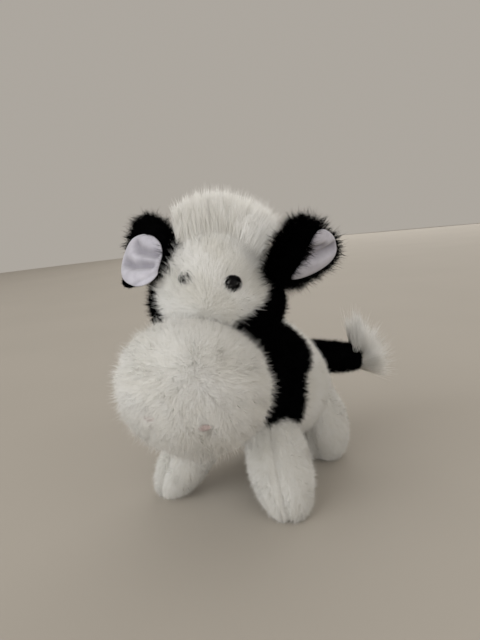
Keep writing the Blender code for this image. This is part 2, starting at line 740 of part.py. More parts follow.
# Forelock
def make_forelock():
    """The standing forelock, a fluted fan of locks seated on the crown."""
    def place(polar, turn):
        lobe = 1.0 + FORELOCK_LOCK_DEPTH_SHARE * math.cos(2.0 * FORELOCK_LOCKS * turn)
        size = math.sin(polar) ** FORELOCK_FULLNESS_SHARE * lobe
        return head_pose() @ Vector((
            FORELOCK_WIDTH / 2.0 * size * math.cos(turn),
            FORELOCK_Y - FORELOCK_DEPTH / 2.0 * math.cos(polar),
            FORELOCK_Z + FORELOCK_HEIGHT / 2.0 * size * math.sin(turn),
        ))
    forelock = swollen_form("forelock", place, FORELOCK_FACETS, FORELOCK_RINGS, "long_pile")
    cut_by(forelock, head_form("forelock_head_room", -SEAM_GAP))
    return forelock


# Tail
def tail_centre():
    """The middle of the tail's round root, sunk a little in the rump."""
    root = surface_frame(body_place, math.radians(TAIL_POLAR_DEGREES), 0.0)
    return root @ Vector((0.0, 0.0, TAIL_DIAMETER / 2.0 - TAIL_SINK))


def tail_frame(lift=0.0):
    """The tail's frame: origin in its root and Z along it, lifted by an angle in degrees."""
    bend = math.radians(TAIL_BEND_DEGREES)
    rise = math.radians(lift - TAIL_DROOP_DEGREES)
    along = Vector((math.sin(bend) * math.cos(rise), math.cos(bend) * math.cos(rise), math.sin(rise)))
    across = Vector((0.0, 0.0, 1.0)).cross(along).normalized()
    turn = Matrix((across, along.cross(across), along)).transposed().to_4x4()
    return Matrix.Translation(tail_centre()) @ turn


def tail_form(name, inset, finish=None):
    """The tail tube: half a ball at the root and a blunt end."""
    frame = tail_frame()
    radius = TAIL_DIAMETER / 2.0 - inset

    def place(polar, turn):
        if polar <= math.pi / 2.0:
            out = radius * math.sin(polar)
            along = -radius * math.cos(polar)
        else:
            end = polar - math.pi / 2.0
            out = radius * math.cos(end) ** TAIL_END_SHARE
            along = (TAIL_LENGTH - inset) * math.sin(end)
        return frame @ Vector((out * math.cos(turn), out * math.sin(turn), along))
    return swollen_form(name, place, TAIL_FACETS, TAIL_RINGS, finish)


def tuft_form(name, gap, finish=None):
    """The tuft, a fluted brush whose root sits inside the tail's end."""
    end = tail_frame() @ Vector((0.0, 0.0, TAIL_LENGTH - TUFT_ROOT_DEPTH))
    frame = Matrix.Translation(end) @ tail_frame(TUFT_LIFT_DEGREES).to_3x3().to_4x4()
    length = TUFT_LENGTH + TUFT_ROOT_DEPTH

    def place(polar, turn):
        along = (1.0 - math.cos(polar)) / 2.0
        lobe = 1.0 + TUFT_LOCK_DEPTH_SHARE * along * math.cos(TUFT_LOCKS * turn)
        flare = TUFT_ROOT_SHARE + TUFT_FLARE_SHARE * along
        out = (TUFT_DIAMETER / 2.0 * flare * lobe + gap) * math.sin(polar) ** TUFT_FULLNESS_SHARE
        return frame @ Vector((out * math.cos(turn), out * math.sin(turn),
                               length * along + gap * (2.0 * along - 1.0)))
    return swollen_form(name, place, TUFT_FACETS, TAIL_RINGS, finish)


def make_tail():
    """Tail skin, stuffing and tuft, and the socket that the root needs in the rump."""
    hollow = tail_form("tail_hollow", SKIN_WALL)
    tuft_room = tuft_form("tuft_room", SEAM_GAP)
    skin = tail_form("tail_skin", 0.0, "black_plush")
    cut_by(skin, hollow, tuft_room)
    stuffing = tail_form("tail_stuffing", SKIN_WALL + SEAM_GAP, "stuffing")
    cut_by(stuffing, tuft_room)
    tuft = tuft_form("tail_tuft", 0.0, "long_pile")
    socket = ball("tail_socket", tail_centre(), TAIL_DIAMETER / 2.0 + TURNING_GAP)
    return [skin, stuffing, tuft], socket


def pivot(name, place, pieces):
    """Parent pieces to an empty that stands on their joint's axis."""
    empty = bpy.data.objects.new(name, None)
    bpy.context.scene.collection.objects.link(empty)
    empty.location = place
    for piece in pieces:
        piece.parent = empty
        piece.matrix_parent_inverse = Matrix.Translation(-Vector(place))


def stand_in_place():
    """Move the toy, with the cutters that its Booleans use, to where it stands."""
    for item in bpy.context.scene.objects:
        if item.parent is None:
            item.location += Vector((STAND_X, STAND_Y, 0.0))


def build():
    """Make every piece and hang the moving ones on their pivots."""
    clear_scene()
    ears, ear_sockets = make_ears()
    eyes, eye_holes, washer_pockets = make_eyes()
    tail, tail_socket = make_tail()
    sweep = head_sweep()
    forelock = make_forelock()
    make_trunk(sweep, tail_socket)
    make_legs(sweep)
    head = make_head(ear_sockets, eye_holes, washer_pockets) + make_muzzle() + eyes + [forelock]
    pivot("head_pivot", (0.0, NECK_Y, NECK_Z), head)
    for side_name, (centre, pieces) in ears.items():
        pivot("ear_pivot_" + side_name, centre, pieces)
    pivot("tail_pivot", tail_centre(), tail)
    stand_in_place()


build()
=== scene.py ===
"""A small standing plush cow: sewn skins with their pile, glossy eyes, ears, forelock and tail.

The cow faces -Y with its left side at +X, and stands on z = 0. Sizes are in metres.
"""
import logging
import math
from dataclasses import dataclass, field
from enum import Enum, IntEnum
from typing import Callable, ClassVar, Iterable, Sequence

import bmesh
import bpy
import numpy as np
from mathutils import Matrix, Vector
from mathutils.bvhtree import BVHTree
from mathutils.kdtree import KDTree


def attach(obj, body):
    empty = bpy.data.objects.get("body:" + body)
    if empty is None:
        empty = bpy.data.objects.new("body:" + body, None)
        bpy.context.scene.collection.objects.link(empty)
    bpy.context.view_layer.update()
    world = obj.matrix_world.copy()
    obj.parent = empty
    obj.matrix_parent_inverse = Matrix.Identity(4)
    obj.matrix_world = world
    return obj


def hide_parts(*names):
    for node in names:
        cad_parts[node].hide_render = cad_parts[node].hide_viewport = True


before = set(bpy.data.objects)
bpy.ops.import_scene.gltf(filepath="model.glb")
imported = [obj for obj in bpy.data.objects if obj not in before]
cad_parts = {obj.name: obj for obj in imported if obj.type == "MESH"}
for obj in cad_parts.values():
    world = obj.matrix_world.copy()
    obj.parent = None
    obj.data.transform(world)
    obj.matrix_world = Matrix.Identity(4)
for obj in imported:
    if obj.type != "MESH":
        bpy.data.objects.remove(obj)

log = logging.getLogger("plush_cow")

Flat = tuple[float, float]
Triple = tuple[float, float, float]
Place = Callable[[float, float], Vector]
Comb = Callable[[np.ndarray, np.ndarray], np.ndarray]
Shares = Callable[[np.ndarray], np.ndarray]

STAND = Vector((-0.0077, 0.0023, 0.0))  # where the toy's own middle stands in the row frame
UP = Vector((0.0, 0.0, 1.0))
BAKE_MAP = "OFBake"
MERGE_GAP = 0.00002  # points of the frame's loose triangles closer than this are one
TINY = 1e-9  # keeps a division or a sign clear of nothing
SQUARE_MM = 1e-6  # in square metres
SQUARE_MM_IN_A_METRE = 1e6
SHADE_CELLS = 64  # cells along each side of the pile's map, those of one tone in one cell
SKIN_MAP = (1.0, 0.49)  # the share of the map, along and up, that a skin takes
# painted shade: at this share a skin takes part of the blades' darker root colour
SKIN_ALONG = 0.30  # a skin is coloured like its blades at this share of their length
SKIN_SHADE = 0.5
SKIN_TURN_IN = 0.0010  # how far a skin's cut edge turns in at a seam
FLOOR_LIFT = 0.0002  # how far the pile keeps off the floor


class Rider(Enum):
    """The bodies that pieces ride on."""

    TRUNK = "body"
    HEAD = "head"
    EAR_LEFT = "ear_left"
    EAR_RIGHT = "ear_right"
    TAIL = "tail"


class Side(Enum):
    """The cow's own left and right."""

    LEFT = 1.0
    RIGHT = -1.0

    @property
    def word(self) -> str:
        """The side's name in lower case."""
        return self.name.lower()


class Draw(IntEnum):
    """Which random draws each piece's roots and pile are made from."""

    TRUNK_ROOTS = 11
    NECK_ROOTS = 12
    TRUNK_PILE = 20
    NECK_PILE = 31
    LEG_ROOTS = 41
    LEG_PILE = 43
    HEAD_ROOTS = 51
    HEAD_PILE = 60
    MUZZLE_ROOTS = 71
    MUZZLE_PILE = 73
    EAR_ROOTS = 81
    EAR_PILE = 83
    FORELOCK_ROOTS = 91
    FORELOCK_PILE = 93
    TAIL_ROOTS = 101
    TAIL_PILE = 103
    TUFT_ROOTS = 105
    TUFT_PILE = 107


# Finishes
class Shading:
    """A material being made: its nodes and how they join."""

    def __init__(self, name: str) -> None:
        """Start a material that has its main shader and the piece's own places."""
        self.material = bpy.data.materials.new(name)
        self.material.use_nodes = True
        self.tree = self.material.node_tree
        self.shader = self.tree.nodes["Principled BSDF"]
        self.place = self.add("TexCoord", {}).outputs["Object"]

    def fill(self, node: bpy.types.Node, inputs: dict) -> bpy.types.Node:
        """Set or join a node's inputs.

        Args:
            node: The node.
            inputs: For each input's name or number, its value or the socket that feeds it.

        Returns:
            The same node.
        """
        for key, value in inputs.items():
            if isinstance(value, bpy.types.NodeSocket):
                self.tree.links.new(value, node.inputs[key])
            else:
                node.inputs[key].default_value = value
        return node

    def add(self, kind: str, inputs: dict) -> bpy.types.Node:
        """Add a node of a kind and fill its inputs."""
        return self.fill(self.tree.nodes.new("ShaderNode" + kind), inputs)

    def attribute(self, name: str) -> bpy.types.NodeSocket:
        """The value of one of the piece's own attributes."""
        node = self.add("Attribute", {})
        node.attribute_name = name
        return node.outputs["Fac"]

    def noise(self, scale: float, detail: float = 2.0) -> bpy.types.NodeSocket:
        """Cloudy noise over the piece."""
        inputs = {"Scale": scale, "Detail": detail, "Vector": self.place}
        return self.add("TexNoise", inputs).outputs["Fac"]

    def ramp(self, value: bpy.types.NodeSocket, *stops: tuple[float, Triple]) -> bpy.types.NodeSocket:
        """Colours that follow a value.

        Args:
            value: What the colours follow.
            stops: Each colour with the value where it stands, in order.

        Returns:
            The colour.
        """
        node = self.add("ValToRGB", {"Fac": value})
        elements = node.color_ramp.elements
        for element, (position, colour) in zip(elements[:], (stops[0], stops[-1])):
            element.position, element.color = position, (*colour, 1.0)
        for position, colour in stops[1:-1]:
            elements.new(position).color = (*colour, 1.0)
        return node.outputs["Color"]

    def multiplied(self, share: bpy.types.NodeSocket | float, colour: bpy.types.NodeSocket,
                   by: bpy.types.NodeSocket | tuple) -> bpy.types.NodeSocket:
        """A colour multiplied by another in some share.

        Args:
            share: How much of it is multiplied.
            colour: The colour.
            by: The other colour.

        Returns:
            The product.
        """
        node = self.add("Mix", {})
        node.data_type, node.blend_type = "RGBA", "MULTIPLY"
        return self.fill(node, {0: share, 6: colour, 7: by}).outputs[2]

    def relief(self, height: bpy.types.NodeSocket, strength: float) -> bpy.types.NodeSocket:
        """The normal over a fine relief."""
        inputs = {"Strength": strength, "Distance": 0.0002, "Height": height}
        return self.add("Bump", inputs).outputs["Normal"]


@dataclass(frozen=True)
class Finish:
    """What a piece is made of. Each colour is linear RGB."""

    name: str
    slot: str
    made_of: ClassVar[str] = "paint"

    def material(self) -> bpy.types.Material:
        """The finish as a material, made once for the whole toy."""
        done = bpy.data.materials.get(self.name)
        if done:
            return done
        work = Shading(self.name)
        self.work_out(work)
        return work.material

    def work_out(self, work: Shading) -> None:
        """Add the finish's own nodes."""
        raise NotImplementedError


@dataclass(frozen=True)
class PileFinish(Finish):
    """A dyed pile: its colour from root to tip, darker at the roots as painted shade, how much tufts differ,
    and its gloss.
    """

    root: Triple
    middle: Triple
    tip: Triple
    dull: Triple
    rough: float
    sheen: float
    shine: float = 0.2
    glow_through: float = 0.0
    middle_at: float = 0.45
    most_dull: float = 0.85
    grain: float = 900.0
    made_of: ClassVar[str] = "plush"

    def work_out(self, work: Shading) -> None:
        """Colour along the blades, with painted shade darkening the roots, dulled tuft by tuft, over a
        fibrous relief.
        """
        # painted shade: the ramp runs from darker roots to lighter tips
        stops = ((0.0, self.root), (self.middle_at, self.middle), (1.0, self.tip))
        along = work.ramp(work.attribute("along"), *stops)
        tone = work.attribute("shade")
        depth = work.add("MapRange", {"Value": tone, "To Min": self.most_dull, "To Max": 0.0})
        dye_and_root_shade = work.multiplied(depth.outputs["Result"], along, (*self.dull, 1.0))
        normal = work.relief(work.noise(self.grain), 0.15)
        work.fill(work.shader, {
            "Base Color": dye_and_root_shade, "Normal": normal, "Roughness": self.rough, "Sheen Weight": self.sheen,
            "Sheen Roughness": 0.5, "Specular IOR Level": self.shine,
        })
        if self.glow_through:
            through = work.add("BsdfTranslucent", {"Color": dye_and_root_shade, "Normal": normal})
            both = work.add("MixShader", {
                0: self.glow_through, 1: work.shader.outputs[0], 2: through.outputs[0]})
            work.fill(work.tree.nodes["Material Output"], {"Surface": both.outputs[0]})


@dataclass(frozen=True)
class ClothFinish(Finish):
    """A smooth knit, thread or filling: two tones, a knit's size, its relief and painted shade in its
    creases.
    """

    light: Triple
    dark: Triple
    blotch: float
    knit: float
    bump: float
    # painted shade: the colour that darkens a lining's creases
    fold_tone: Triple = (0.60, 0.59, 0.60)
    made_of: ClassVar[str] = "cloth"

    def work_out(self, work: Shading) -> None:
        """Soft blotches of tone, with painted shade darkening the creases, and a fine knit in the relief."""
        tone = work.ramp(work.noise(self.blotch, 4.0), (0.3, self.dark), (0.7, self.light))
        knit = work.add("TexWave", {
            "Scale": self.knit, "Distortion": 1.5, "Detail": 2.0, "Vector": work.place})
        flecked = work.multiplied(0.10, tone, knit.outputs["Color"])
        work.fill(work.shader, {
            # painted shade: each crease's share multiplies the tone by the crease shade colour
            "Base Color": work.multiplied(work.attribute("fold"), flecked, (*self.fold_tone, 1.0)),
            "Normal": work.relief(knit.outputs["Fac"], self.bump), "Roughness": 0.85, "Sheen Weight": 0.3,
            "Sheen Roughness": 0.4, "Specular IOR Level": 0.3,
        })


@dataclass(frozen=True)
class MouldedFinish(Finish):
    """Moulded plastic: its colour, faint handling marks and its gloss."""

    colour: Triple
    worn: Triple
    rough: Flat
    shine: float
    made_of: ClassVar[str] = "plastic"

    def work_out(self, work: Shading) -> None:
        """Faint marks in colour and gloss."""
        marks = work.noise(420.0, 5.0)
        gloss = work.add("MapRange", {"Value": marks, "To Min": self.rough[0], "To Max": self.rough[1]})
        work.fill(work.shader, {
            "Base Color": work.ramp(marks, (0.35, self.colour), (0.75, self.worn)),
            "Roughness": gloss.outputs["Result"], "Specular IOR Level": self.shine,
        })


@dataclass(frozen=True)
class FloorPaint(Finish):
    """Pale matt paint with a slight cloud in it."""

    dark: Triple
    light: Triple

    def work_out(self, work: Shading) -> None:
        """Two close tones in soft clouds."""
        tone = work.ramp(work.noise(5.0), (0.0, self.dark), (1.0, self.light))
        work.fill(work.shader, {"Base Color": tone, "Roughness": 0.8})


# Each pile's root colour is darker than its tip: painted shade deep in the pile.
WHITE_PLUSH = PileFinish(
    "combed_white_pile", "white_plush", (0.90, 0.89, 0.86), (0.94, 0.935, 0.915), (0.96, 0.955, 0.94),
    (0.91, 0.90, 0.87), rough=0.85, sheen=0.35, glow_through=0.45)
BLACK_PLUSH = PileFinish(
    "combed_black_pile", "black_plush", (0.0004, 0.0004, 0.0005), (0.0008, 0.0008, 0.0009),
    (0.0030, 0.0030, 0.0034), (0.35, 0.35, 0.37), rough=0.85, sheen=0.0, shine=0.0)
LONG_PILE = PileFinish(
    "brushed_long_pile", "long_pile", (0.90, 0.89, 0.86), (0.96, 0.955, 0.94), (0.97, 0.965, 0.955),
    (0.82, 0.81, 0.78), rough=0.75, sheen=0.25, glow_through=0.58)
EAR_KNIT = ClothFinish(
    "ear_knit", "ear_lining", (0.56, 0.55, 0.61), (0.45, 0.44, 0.50), blotch=220.0, knit=1500.0, bump=0.25)
FILLING = ClothFinish(
    "filling_fibre", "stuffing", (0.90, 0.90, 0.88), (0.78, 0.78, 0.76), blotch=300.0, knit=700.0, bump=0.6)
NOSTRIL_THREAD = ClothFinish(
    "nostril_stitch", "nostril_thread", (0.60, 0.49, 0.47), (0.46, 0.35, 0.34), blotch=500.0, knit=1800.0,
    bump=0.7)
EYE_GLOSS = MouldedFinish(
    "eye_gloss", "eye_plastic", (0.0014, 0.0014, 0.0017), (0.0028, 0.0026, 0.0026), (0.08, 0.18), 0.05)
WASHER_WHITE = MouldedFinish(
    "washer_white", "washer_plastic", (0.78, 0.78, 0.76), (0.70, 0.70, 0.67), (0.40, 0.60), 0.5)
PALE_FLOOR = FloorPaint("floor_paint", "", (0.380, 0.348, 0.304), (0.415, 0.380, 0.333))


# Shaping tools
def flat_inside(outline: Sequence[Flat], first: np.ndarray, second: np.ndarray) -> np.ndarray:
    """Tell which places lie inside a closed outline.

    Args:
        outline: The outline's corners in order.
        first: The places' first coordinate.
        second: The places' second coordinate.

    Returns:
        True for each place inside.
    """
    inside = np.zeros(len(first), dtype=bool)
    for (x0, y0), (x1, y1) in zip(outline, [*outline[1:], outline[0]]):
        if y0 == y1:
            continue
        spans = (y0 > second) != (y1 > second)
        crossing = x0 + (second - y0) * (x1 - x0) / (y1 - y0)
        inside ^= spans & (first < crossing)
    return inside


def smooth_outline(points: Sequence[Flat], steps: int = 6) -> list[Flat]:
    """Run a closed smooth curve through an outline's few points.

    Args:
        points: The outline's points in order.
        steps: How many pieces each stretch is cut into.

    Returns:
        The curve's points in order.
    """
    curve = []
    count = len(points)
    for index in range(count):
        before, start, end, after = (Vector(points[(index + step) % count]) for step in (-1, 0, 1, 2))
        for step in range(steps):
            t = step / steps
            curve.append(tuple(0.5 * (
                2.0 * start + (end - before) * t
                + (2.0 * before - 5.0 * start + 4.0 * end - after) * t ** 2
                + (3.0 * start - before - 3.0 * end + after) * t ** 3
            )))
    return curve


def unit_rows(rows: np.ndarray) -> np.ndarray:
    """Each row at length one."""
    return rows / np.maximum(np.linalg.norm(rows, axis=-1, keepdims=True), TINY)


def along_skin(rows: np.ndarray, out: np.ndarray) -> np.ndarray:
    """The part of each row that runs along the skin."""
    return rows - out * np.sum(rows * out, axis=1, keepdims=True)


def faded(gap: np.ndarray, size: float) -> np.ndarray:
    """A share for each gap: one where there is none, falling smoothly over a size."""
    return np.exp(-(gap / size) ** 2)


def placed(rows: np.ndarray, axes: np.ndarray) -> np.ndarray:
    """Places given in a frame, as they lie outside it."""
    return rows @ axes[:3, :3].T + axes[:3, 3]


def turned(rows: np.ndarray, axes: np.ndarray, angles: np.ndarray) -> np.ndarray:
    """Turn each row about its own axis.

    Args:
        rows: The vectors to turn.
        axes: Each one's unit axis.
        angles: Each one's angle in radians.

    Returns:
        The turned vectors.
    """
    cos, sin = np.cos(angles)[:, None], np.sin(angles)[:, None]
    along = np.sum(rows * axes, axis=1, keepdims=True)
    return rows * cos + np.cross(axes, rows) * sin + axes * along * (1.0 - cos)


def ruffled(places: np.ndarray, size: float, seed: int) -> np.ndarray:
    """Smooth random pushes over a surface, as handling leaves in a pile.

    Args:
        places: Where the pushes are wanted.
        size: About how far apart two different pushes are.
        seed: Which pushes to give.

    Returns:
        One push for each place.
    """
    rng = np.random.default_rng(seed)
    waves = unit_rows(rng.normal(size=(9, 3))) * math.tau / size * rng.uniform(0.5, 1.5, (9, 1))
    phases = rng.uniform(0.0, math.tau, 9)
    return np.sin(places @ waves.T + phases) @ rng.normal(size=(9, 3)) / 3.0


def swollen_form(place: Place, around: int, rings: int) -> bmesh.types.BMesh:
    """A closed form from a unit ball, each point moved to its place.

    Args:
        place: Gives the place of a point from its polar and turn angles.
        around: Faces round the form.
        rings: Faces from pole to pole.

    Returns:
        The form, facing out.
    """
    bm = bmesh.new()
    bm.loops.layers.uv.new(BAKE_MAP)
    bmesh.ops.create_uvsphere(bm, u_segments=around, v_segments=rings, radius=1.0, calc_uvs=True)
    for vert in bm.verts:
        polar = math.acos(max(-1.0, min(1.0, vert.co.z)))
        vert.co = place(polar, math.atan2(vert.co.y, vert.co.x))
    bmesh.ops.recalc_face_normals(bm, faces=bm.faces)
    if bm.calc_volume(signed=True) < 0.0:
        bmesh.ops.reverse_faces(bm, faces=bm.faces)
    return bm


def surface_frame(place: Place, polar: float, turn: float) -> Matrix:
    """A frame on a form's surface with its Z axis pointing out.

    Args:
        place: The form.
        polar: The polar angle in degrees.
        turn: The turn angle in degrees.

    Returns:
        The frame.
    """
    polar, turn, step = math.radians(polar), math.radians(turn), math.radians(1.0)
    down = place(polar + step, turn) - place(polar - step, turn)
    round_way = place(polar, turn + step) - place(polar, turn - step)
    out = round_way.cross(down).normalized()
    middle = (place(math.pi / 2.0, turn) + place(math.pi / 2.0, turn + math.pi)) / 2.0
    if out.dot(place(polar, turn) - middle) < 0.0:
        out.negate()
    across = UP.cross(out).normalized()
    axes = Matrix((across, out.cross(across), out)).transposed().to_4x4()
    return Matrix.Translation(place(polar, turn)) @ axes


def mesh_of(bm: bmesh.types.BMesh, name: str) -> bpy.types.Mesh:
    """The bmesh as a mesh, and the bmesh freed."""
    mesh = bpy.data.meshes.new(name)
    bm.to_mesh(mesh)
    bm.free()
    return mesh


def drawn_in(mesh: bpy.types.Mesh, depth: float, level: bool = False) -> bpy.types.Mesh:
    """Draw a form in under its surface, so that its pile fills the space that is left.

    Args:
        mesh: The form.
        depth: How far it is drawn in.
        level: Whether it keeps its heights, as a form that rests on its sole does.

    Returns:
        The same mesh.
    """
    places, normals = corners(mesh)
    if level:
        normals[:, 2] = 0.0
    mesh.vertices.foreach_set("co", (places - depth * normals).ravel())
    mesh.update()
    return mesh


def corners(mesh: bpy.types.Mesh) -> tuple[np.ndarray, np.ndarray]:
    """A mesh's vertex places and its normals there, summed in one order so that each run agrees.

    Args:
        mesh: The mesh.

    Returns:
        Places and normals, one row a vertex.
    """
    places = np.empty(len(mesh.vertices) * 3, dtype=np.float32)
    mesh.vertices.foreach_get("co", places)
    places = places.reshape(-1, 3).astype(float)
    ids = triangles(mesh)
    first, second, third = places[ids[:, 0]], places[ids[:, 1]], places[ids[:, 2]]
    faces = np.cross(second - first, third - first) * SQUARE_MM_IN_A_METRE
    normals = np.zeros_like(places)
    for corner in range(3):
        np.add.at(normals, ids[:, corner], faces)
    return places, unit_rows(normals)


def triangles(mesh: bpy.types.Mesh) -> np.ndarray:
    """The vertices of a mesh's triangles in one fixed order, one row a triangle."""
    rows = []
    for face in mesh.polygons:
        ids = list(face.vertices)
        lowest = ids.index(min(ids))
        ids = ids[lowest:] + ids[:lowest]
        rows += [(ids[0], *pair) for pair in zip(ids[1:], ids[2:])]
    return np.array(sorted(rows))


# Pile
@dataclass(frozen=True)
class Pile:
    """How a pile stands: its length, blades and lay."""

    length: float
    per_square_mm: float = 5.0
    width: float = 0.00026
    lean: float = 48.0
    unevenness: float = 0.22
    ruffle: float = 0.30
    ruffle_size: float = 0.012
    stray: float = 0.20
    wild: float = 0.14
    wild_reach: float = 1.35
    tuft_size: float = 0.0016
    tuft_pull: float = 0.45
    bends: int = 2
    splay: float = 40.0
    lean_spread: Flat = (0.75, 1.25)
    pull_spread: Flat = (0.4, 1.3)
    most_pull: float = 0.95
    wild_lean: float = 0.6
    wild_pull: float = 0.3
    width_spread: Flat = (0.7, 1.3)
    taper: float = 0.55
    root_sink: float = 0.0003


@dataclass
class Roots:
    """Places on a skin where blades grow, and the way out of the skin there."""

    places: np.ndarray
    out: np.ndarray

    def only(self, keep: np.ndarray) -> "Roots":
        """The roots that a mask keeps."""
        return Roots(self.places[keep], self.out[keep])

    def __len__(self) -> int:
        """How many roots there are."""
        return len(self.places)


@dataclass
class Blades:
    """Grown blades: their bends in rows, half widths, facing and tone."""

    rows: np.ndarray
    halves: np.ndarray
    facing: np.ndarray
    shade: np.ndarray


def roots_on(mesh: bpy.types.Mesh, per_square_mm: float, seed: int) -> Roots:
    """Scatter roots evenly over a mesh.

    Args:
        mesh: The skin's form.
        per_square_mm: How many roots a square millimetre has.
        seed: Which scatter to give.

    Returns:
        The roots.
    """
    rng = np.random.default_rng(seed)
    places, normals = corners(mesh)
    ids = triangles(mesh)
    first, second, third = places[ids[:, 0]], places[ids[:, 1]], places[ids[:, 2]]
    areas = np.linalg.norm(np.cross(second - first, third - first), axis=1) / 2.0
    count = int(areas.sum() * SQUARE_MM_IN_A_METRE * per_square_mm)
    chosen = rng.choice(len(ids), size=count, p=areas / areas.sum())
    spread = np.sqrt(rng.uniform(size=(count, 1)))
    along = rng.uniform(size=(count, 1))
    shares = np.hstack([1.0 - spread, spread * (1.0 - along), spread * along])
    at = np.einsum("nk,nkd->nd", shares, places[ids[chosen]])
    out = unit_rows(np.einsum("nk,nkd->nd", shares, normals[ids[chosen]]))
    return Roots(at, out)


def combed(pile: Pile, roots: Roots, comb: Comb, seed: int) -> np.ndarray:
    """The way that each blade is laid along the skin, combed and then ruffled.

    Args:
        pile: How the pile stands.
        roots: Where the blades grow.
        comb: Gives the way that the pile is combed at each place.
        seed: Which ruffles to give.

    Returns:
        The ways, one row a blade.
    """
    laid = unit_rows(along_skin(comb(roots.places, roots.out), roots.out))
    laid = laid + pile.ruffle * ruffled(roots.places, pile.ruffle_size, seed)
    return along_skin(laid, roots.out)


def tufted(pile: Pile, at: np.ndarray, rng: np.random.Generator) -> tuple[np.ndarray, np.ndarray]:
    """Gather the blades into tufts.

    Args:
        pile: How the pile stands.
        at: Where the blades grow.
        rng: The random draws.

    Returns:
        The blade that leads each tuft, and the tuft of each blade.
    """
    tufts = max(1, int(len(at) / pile.per_square_mm * SQUARE_MM / pile.tuft_size ** 2))
    leaders = rng.choice(len(at), size=min(tufts, len(at)), replace=False)
    tree = KDTree(len(leaders))
    for number, leader in enumerate(leaders):
        tree.insert(at[leader], number)
    tree.balance()
    return leaders, np.array([tree.find(place)[1] for place in at])


def broadened(pile: Pile, run: np.ndarray, front: np.ndarray, own_share: float,
              rng: np.random.Generator) -> tuple[np.ndarray, np.ndarray]:
    """Give each blade its width and the way that it faces.

    Args:
        pile: How the pile stands.
        run: The way from each blade's root to its tip.
        front: The way that each blade looks.
        own_share: How much of each blade's own turn shows in its facing.
        rng: The random draws.

    Returns:
        The half widths at each bend, and the facing.
    """
    side = unit_rows(np.cross(run, front) + 1e-6)
    side = turned(side, run, np.radians(pile.splay) * rng.uniform(-1.0, 1.0, len(run)))
    widths = pile.width * rng.uniform(*pile.width_spread, len(run))
    taper = 1.0 - pile.taper * np.linspace(0.0, 1.0, pile.bends + 1)[:-1] ** 1.5
    halves = side[None] * (widths[None] * taper[:, None] / 2.0)[:, :, None]
    face = unit_rows(np.cross(side, run))
    face = face * np.sign(np.sum(face * front, axis=1, keepdims=True) + TINY)
    return halves, unit_rows((1.0 - own_share) * front + own_share * face)


def grow(pile: Pile, roots: Roots, comb: Comb, seed: int, trim: Shares | None = None,
         upright: Shares | None = None, looks: np.ndarray | None = None) -> Blades:
    """Grow a blade from each root, combed, ruffled and drawn into tufts.

    Args:
        pile: How the pile stands.
        roots: Where the blades grow.
        comb: Gives the way that the pile is combed at each place.
        seed: Which pile to give.
        trim: Gives each place's share of the pile's length.
        upright: Gives each place's share of the pile's lean.
        looks: The way that each blade of a long pile looks, where that isn't its root's way out.

    Returns:
        The blades.
    """
    rng = np.random.default_rng(seed)
    count, at, out = len(roots), roots.places, roots.out
    laid = combed(pile, roots, comb, seed + 1)
    wild = rng.uniform(size=count) < pile.wild
    lean = np.radians(pile.lean) * rng.uniform(*pile.lean_spread, count)
    lean = lean * np.where(wild, pile.wild_lean, 1.0)
    if upright is not None:
        lean = lean * upright(at)
    way = out * np.cos(lean)[:, None] + laid * np.sin(lean)[:, None]
    way = unit_rows(way + pile.stray * rng.normal(size=(count, 3)))
    length = pile.length * (1.0 + pile.unevenness * rng.uniform(-1.0, 1.0, count))
    length = np.where(wild, length * pile.wild_reach, length)
    if trim is not None:
        length = length * trim(at)
    tips = at + way * length[:, None]
    leaders, tuft = tufted(pile, at, rng)
    pull = pile.tuft_pull * rng.uniform(*pile.pull_spread, count) * np.where(wild, pile.wild_pull, 1.0)
    tips = tips + (tips[leaders[tuft]] - tips) * np.clip(pull[:, None], 0.0, pile.most_pull)
    rise = unit_rows(0.55 * out + 0.45 * way + 0.4 * pile.stray * rng.normal(size=(count, 3)))
    knee = at + rise * (0.45 * length)[:, None]
    base = at - out * pile.root_sink
    steps = np.linspace(0.0, 1.0, pile.bends + 1)
    rows = np.stack([(1 - t) ** 2 * base + 2 * t * (1 - t) * knee + t ** 2 * tips for t in steps])
    run = unit_rows(tips - base)
    if looks is None:
        halves, facing = broadened(pile, run, out, 0.15, rng)
    else:
        halves, facing = broadened(pile, run, looks, 0.40, rng)
    tuft_tone = rng.uniform(size=len(leaders))[tuft]
    drift = ruffled(at, 0.02, seed + 2)[:, 0]
    own_tone = rng.uniform(-1, 1, count)
    shade = np.clip(0.5 + 0.28 * drift + 0.45 * (tuft_tone - 0.5) + 0.35 * own_tone, 0, 1)
    return Blades(rows, halves, facing, shade)


def blade_sheet(count: int, bends: int) -> bmesh.types.BMesh:
    """Cut one grid into separate blades, each drawn to a point at its end.

    Args:
        count: How many blades.
        bends: How many faces each blade has along it.

    Returns:
        The blades, their points in rows from roots to tips.
    """
    bm = bmesh.new()
    bm.loops.layers.uv.new(BAKE_MAP)
    across = 2 * count - 1
    bmesh.ops.create_grid(bm, x_segments=across, y_segments=bends, size=0.5)
    between = [face for index, face in enumerate(bm.faces) if index % across % 2]
    bmesh.ops.delete(bm, geom=between, context="FACES")
    bm.verts.index_update()
    first_tip = 2 * count * bends
    ends = [edge for edge in bm.edges if min(vert.index for vert in edge.verts) >= first_tip]
    bmesh.ops.collapse(bm, edges=ends, uvs=False)
    return bm


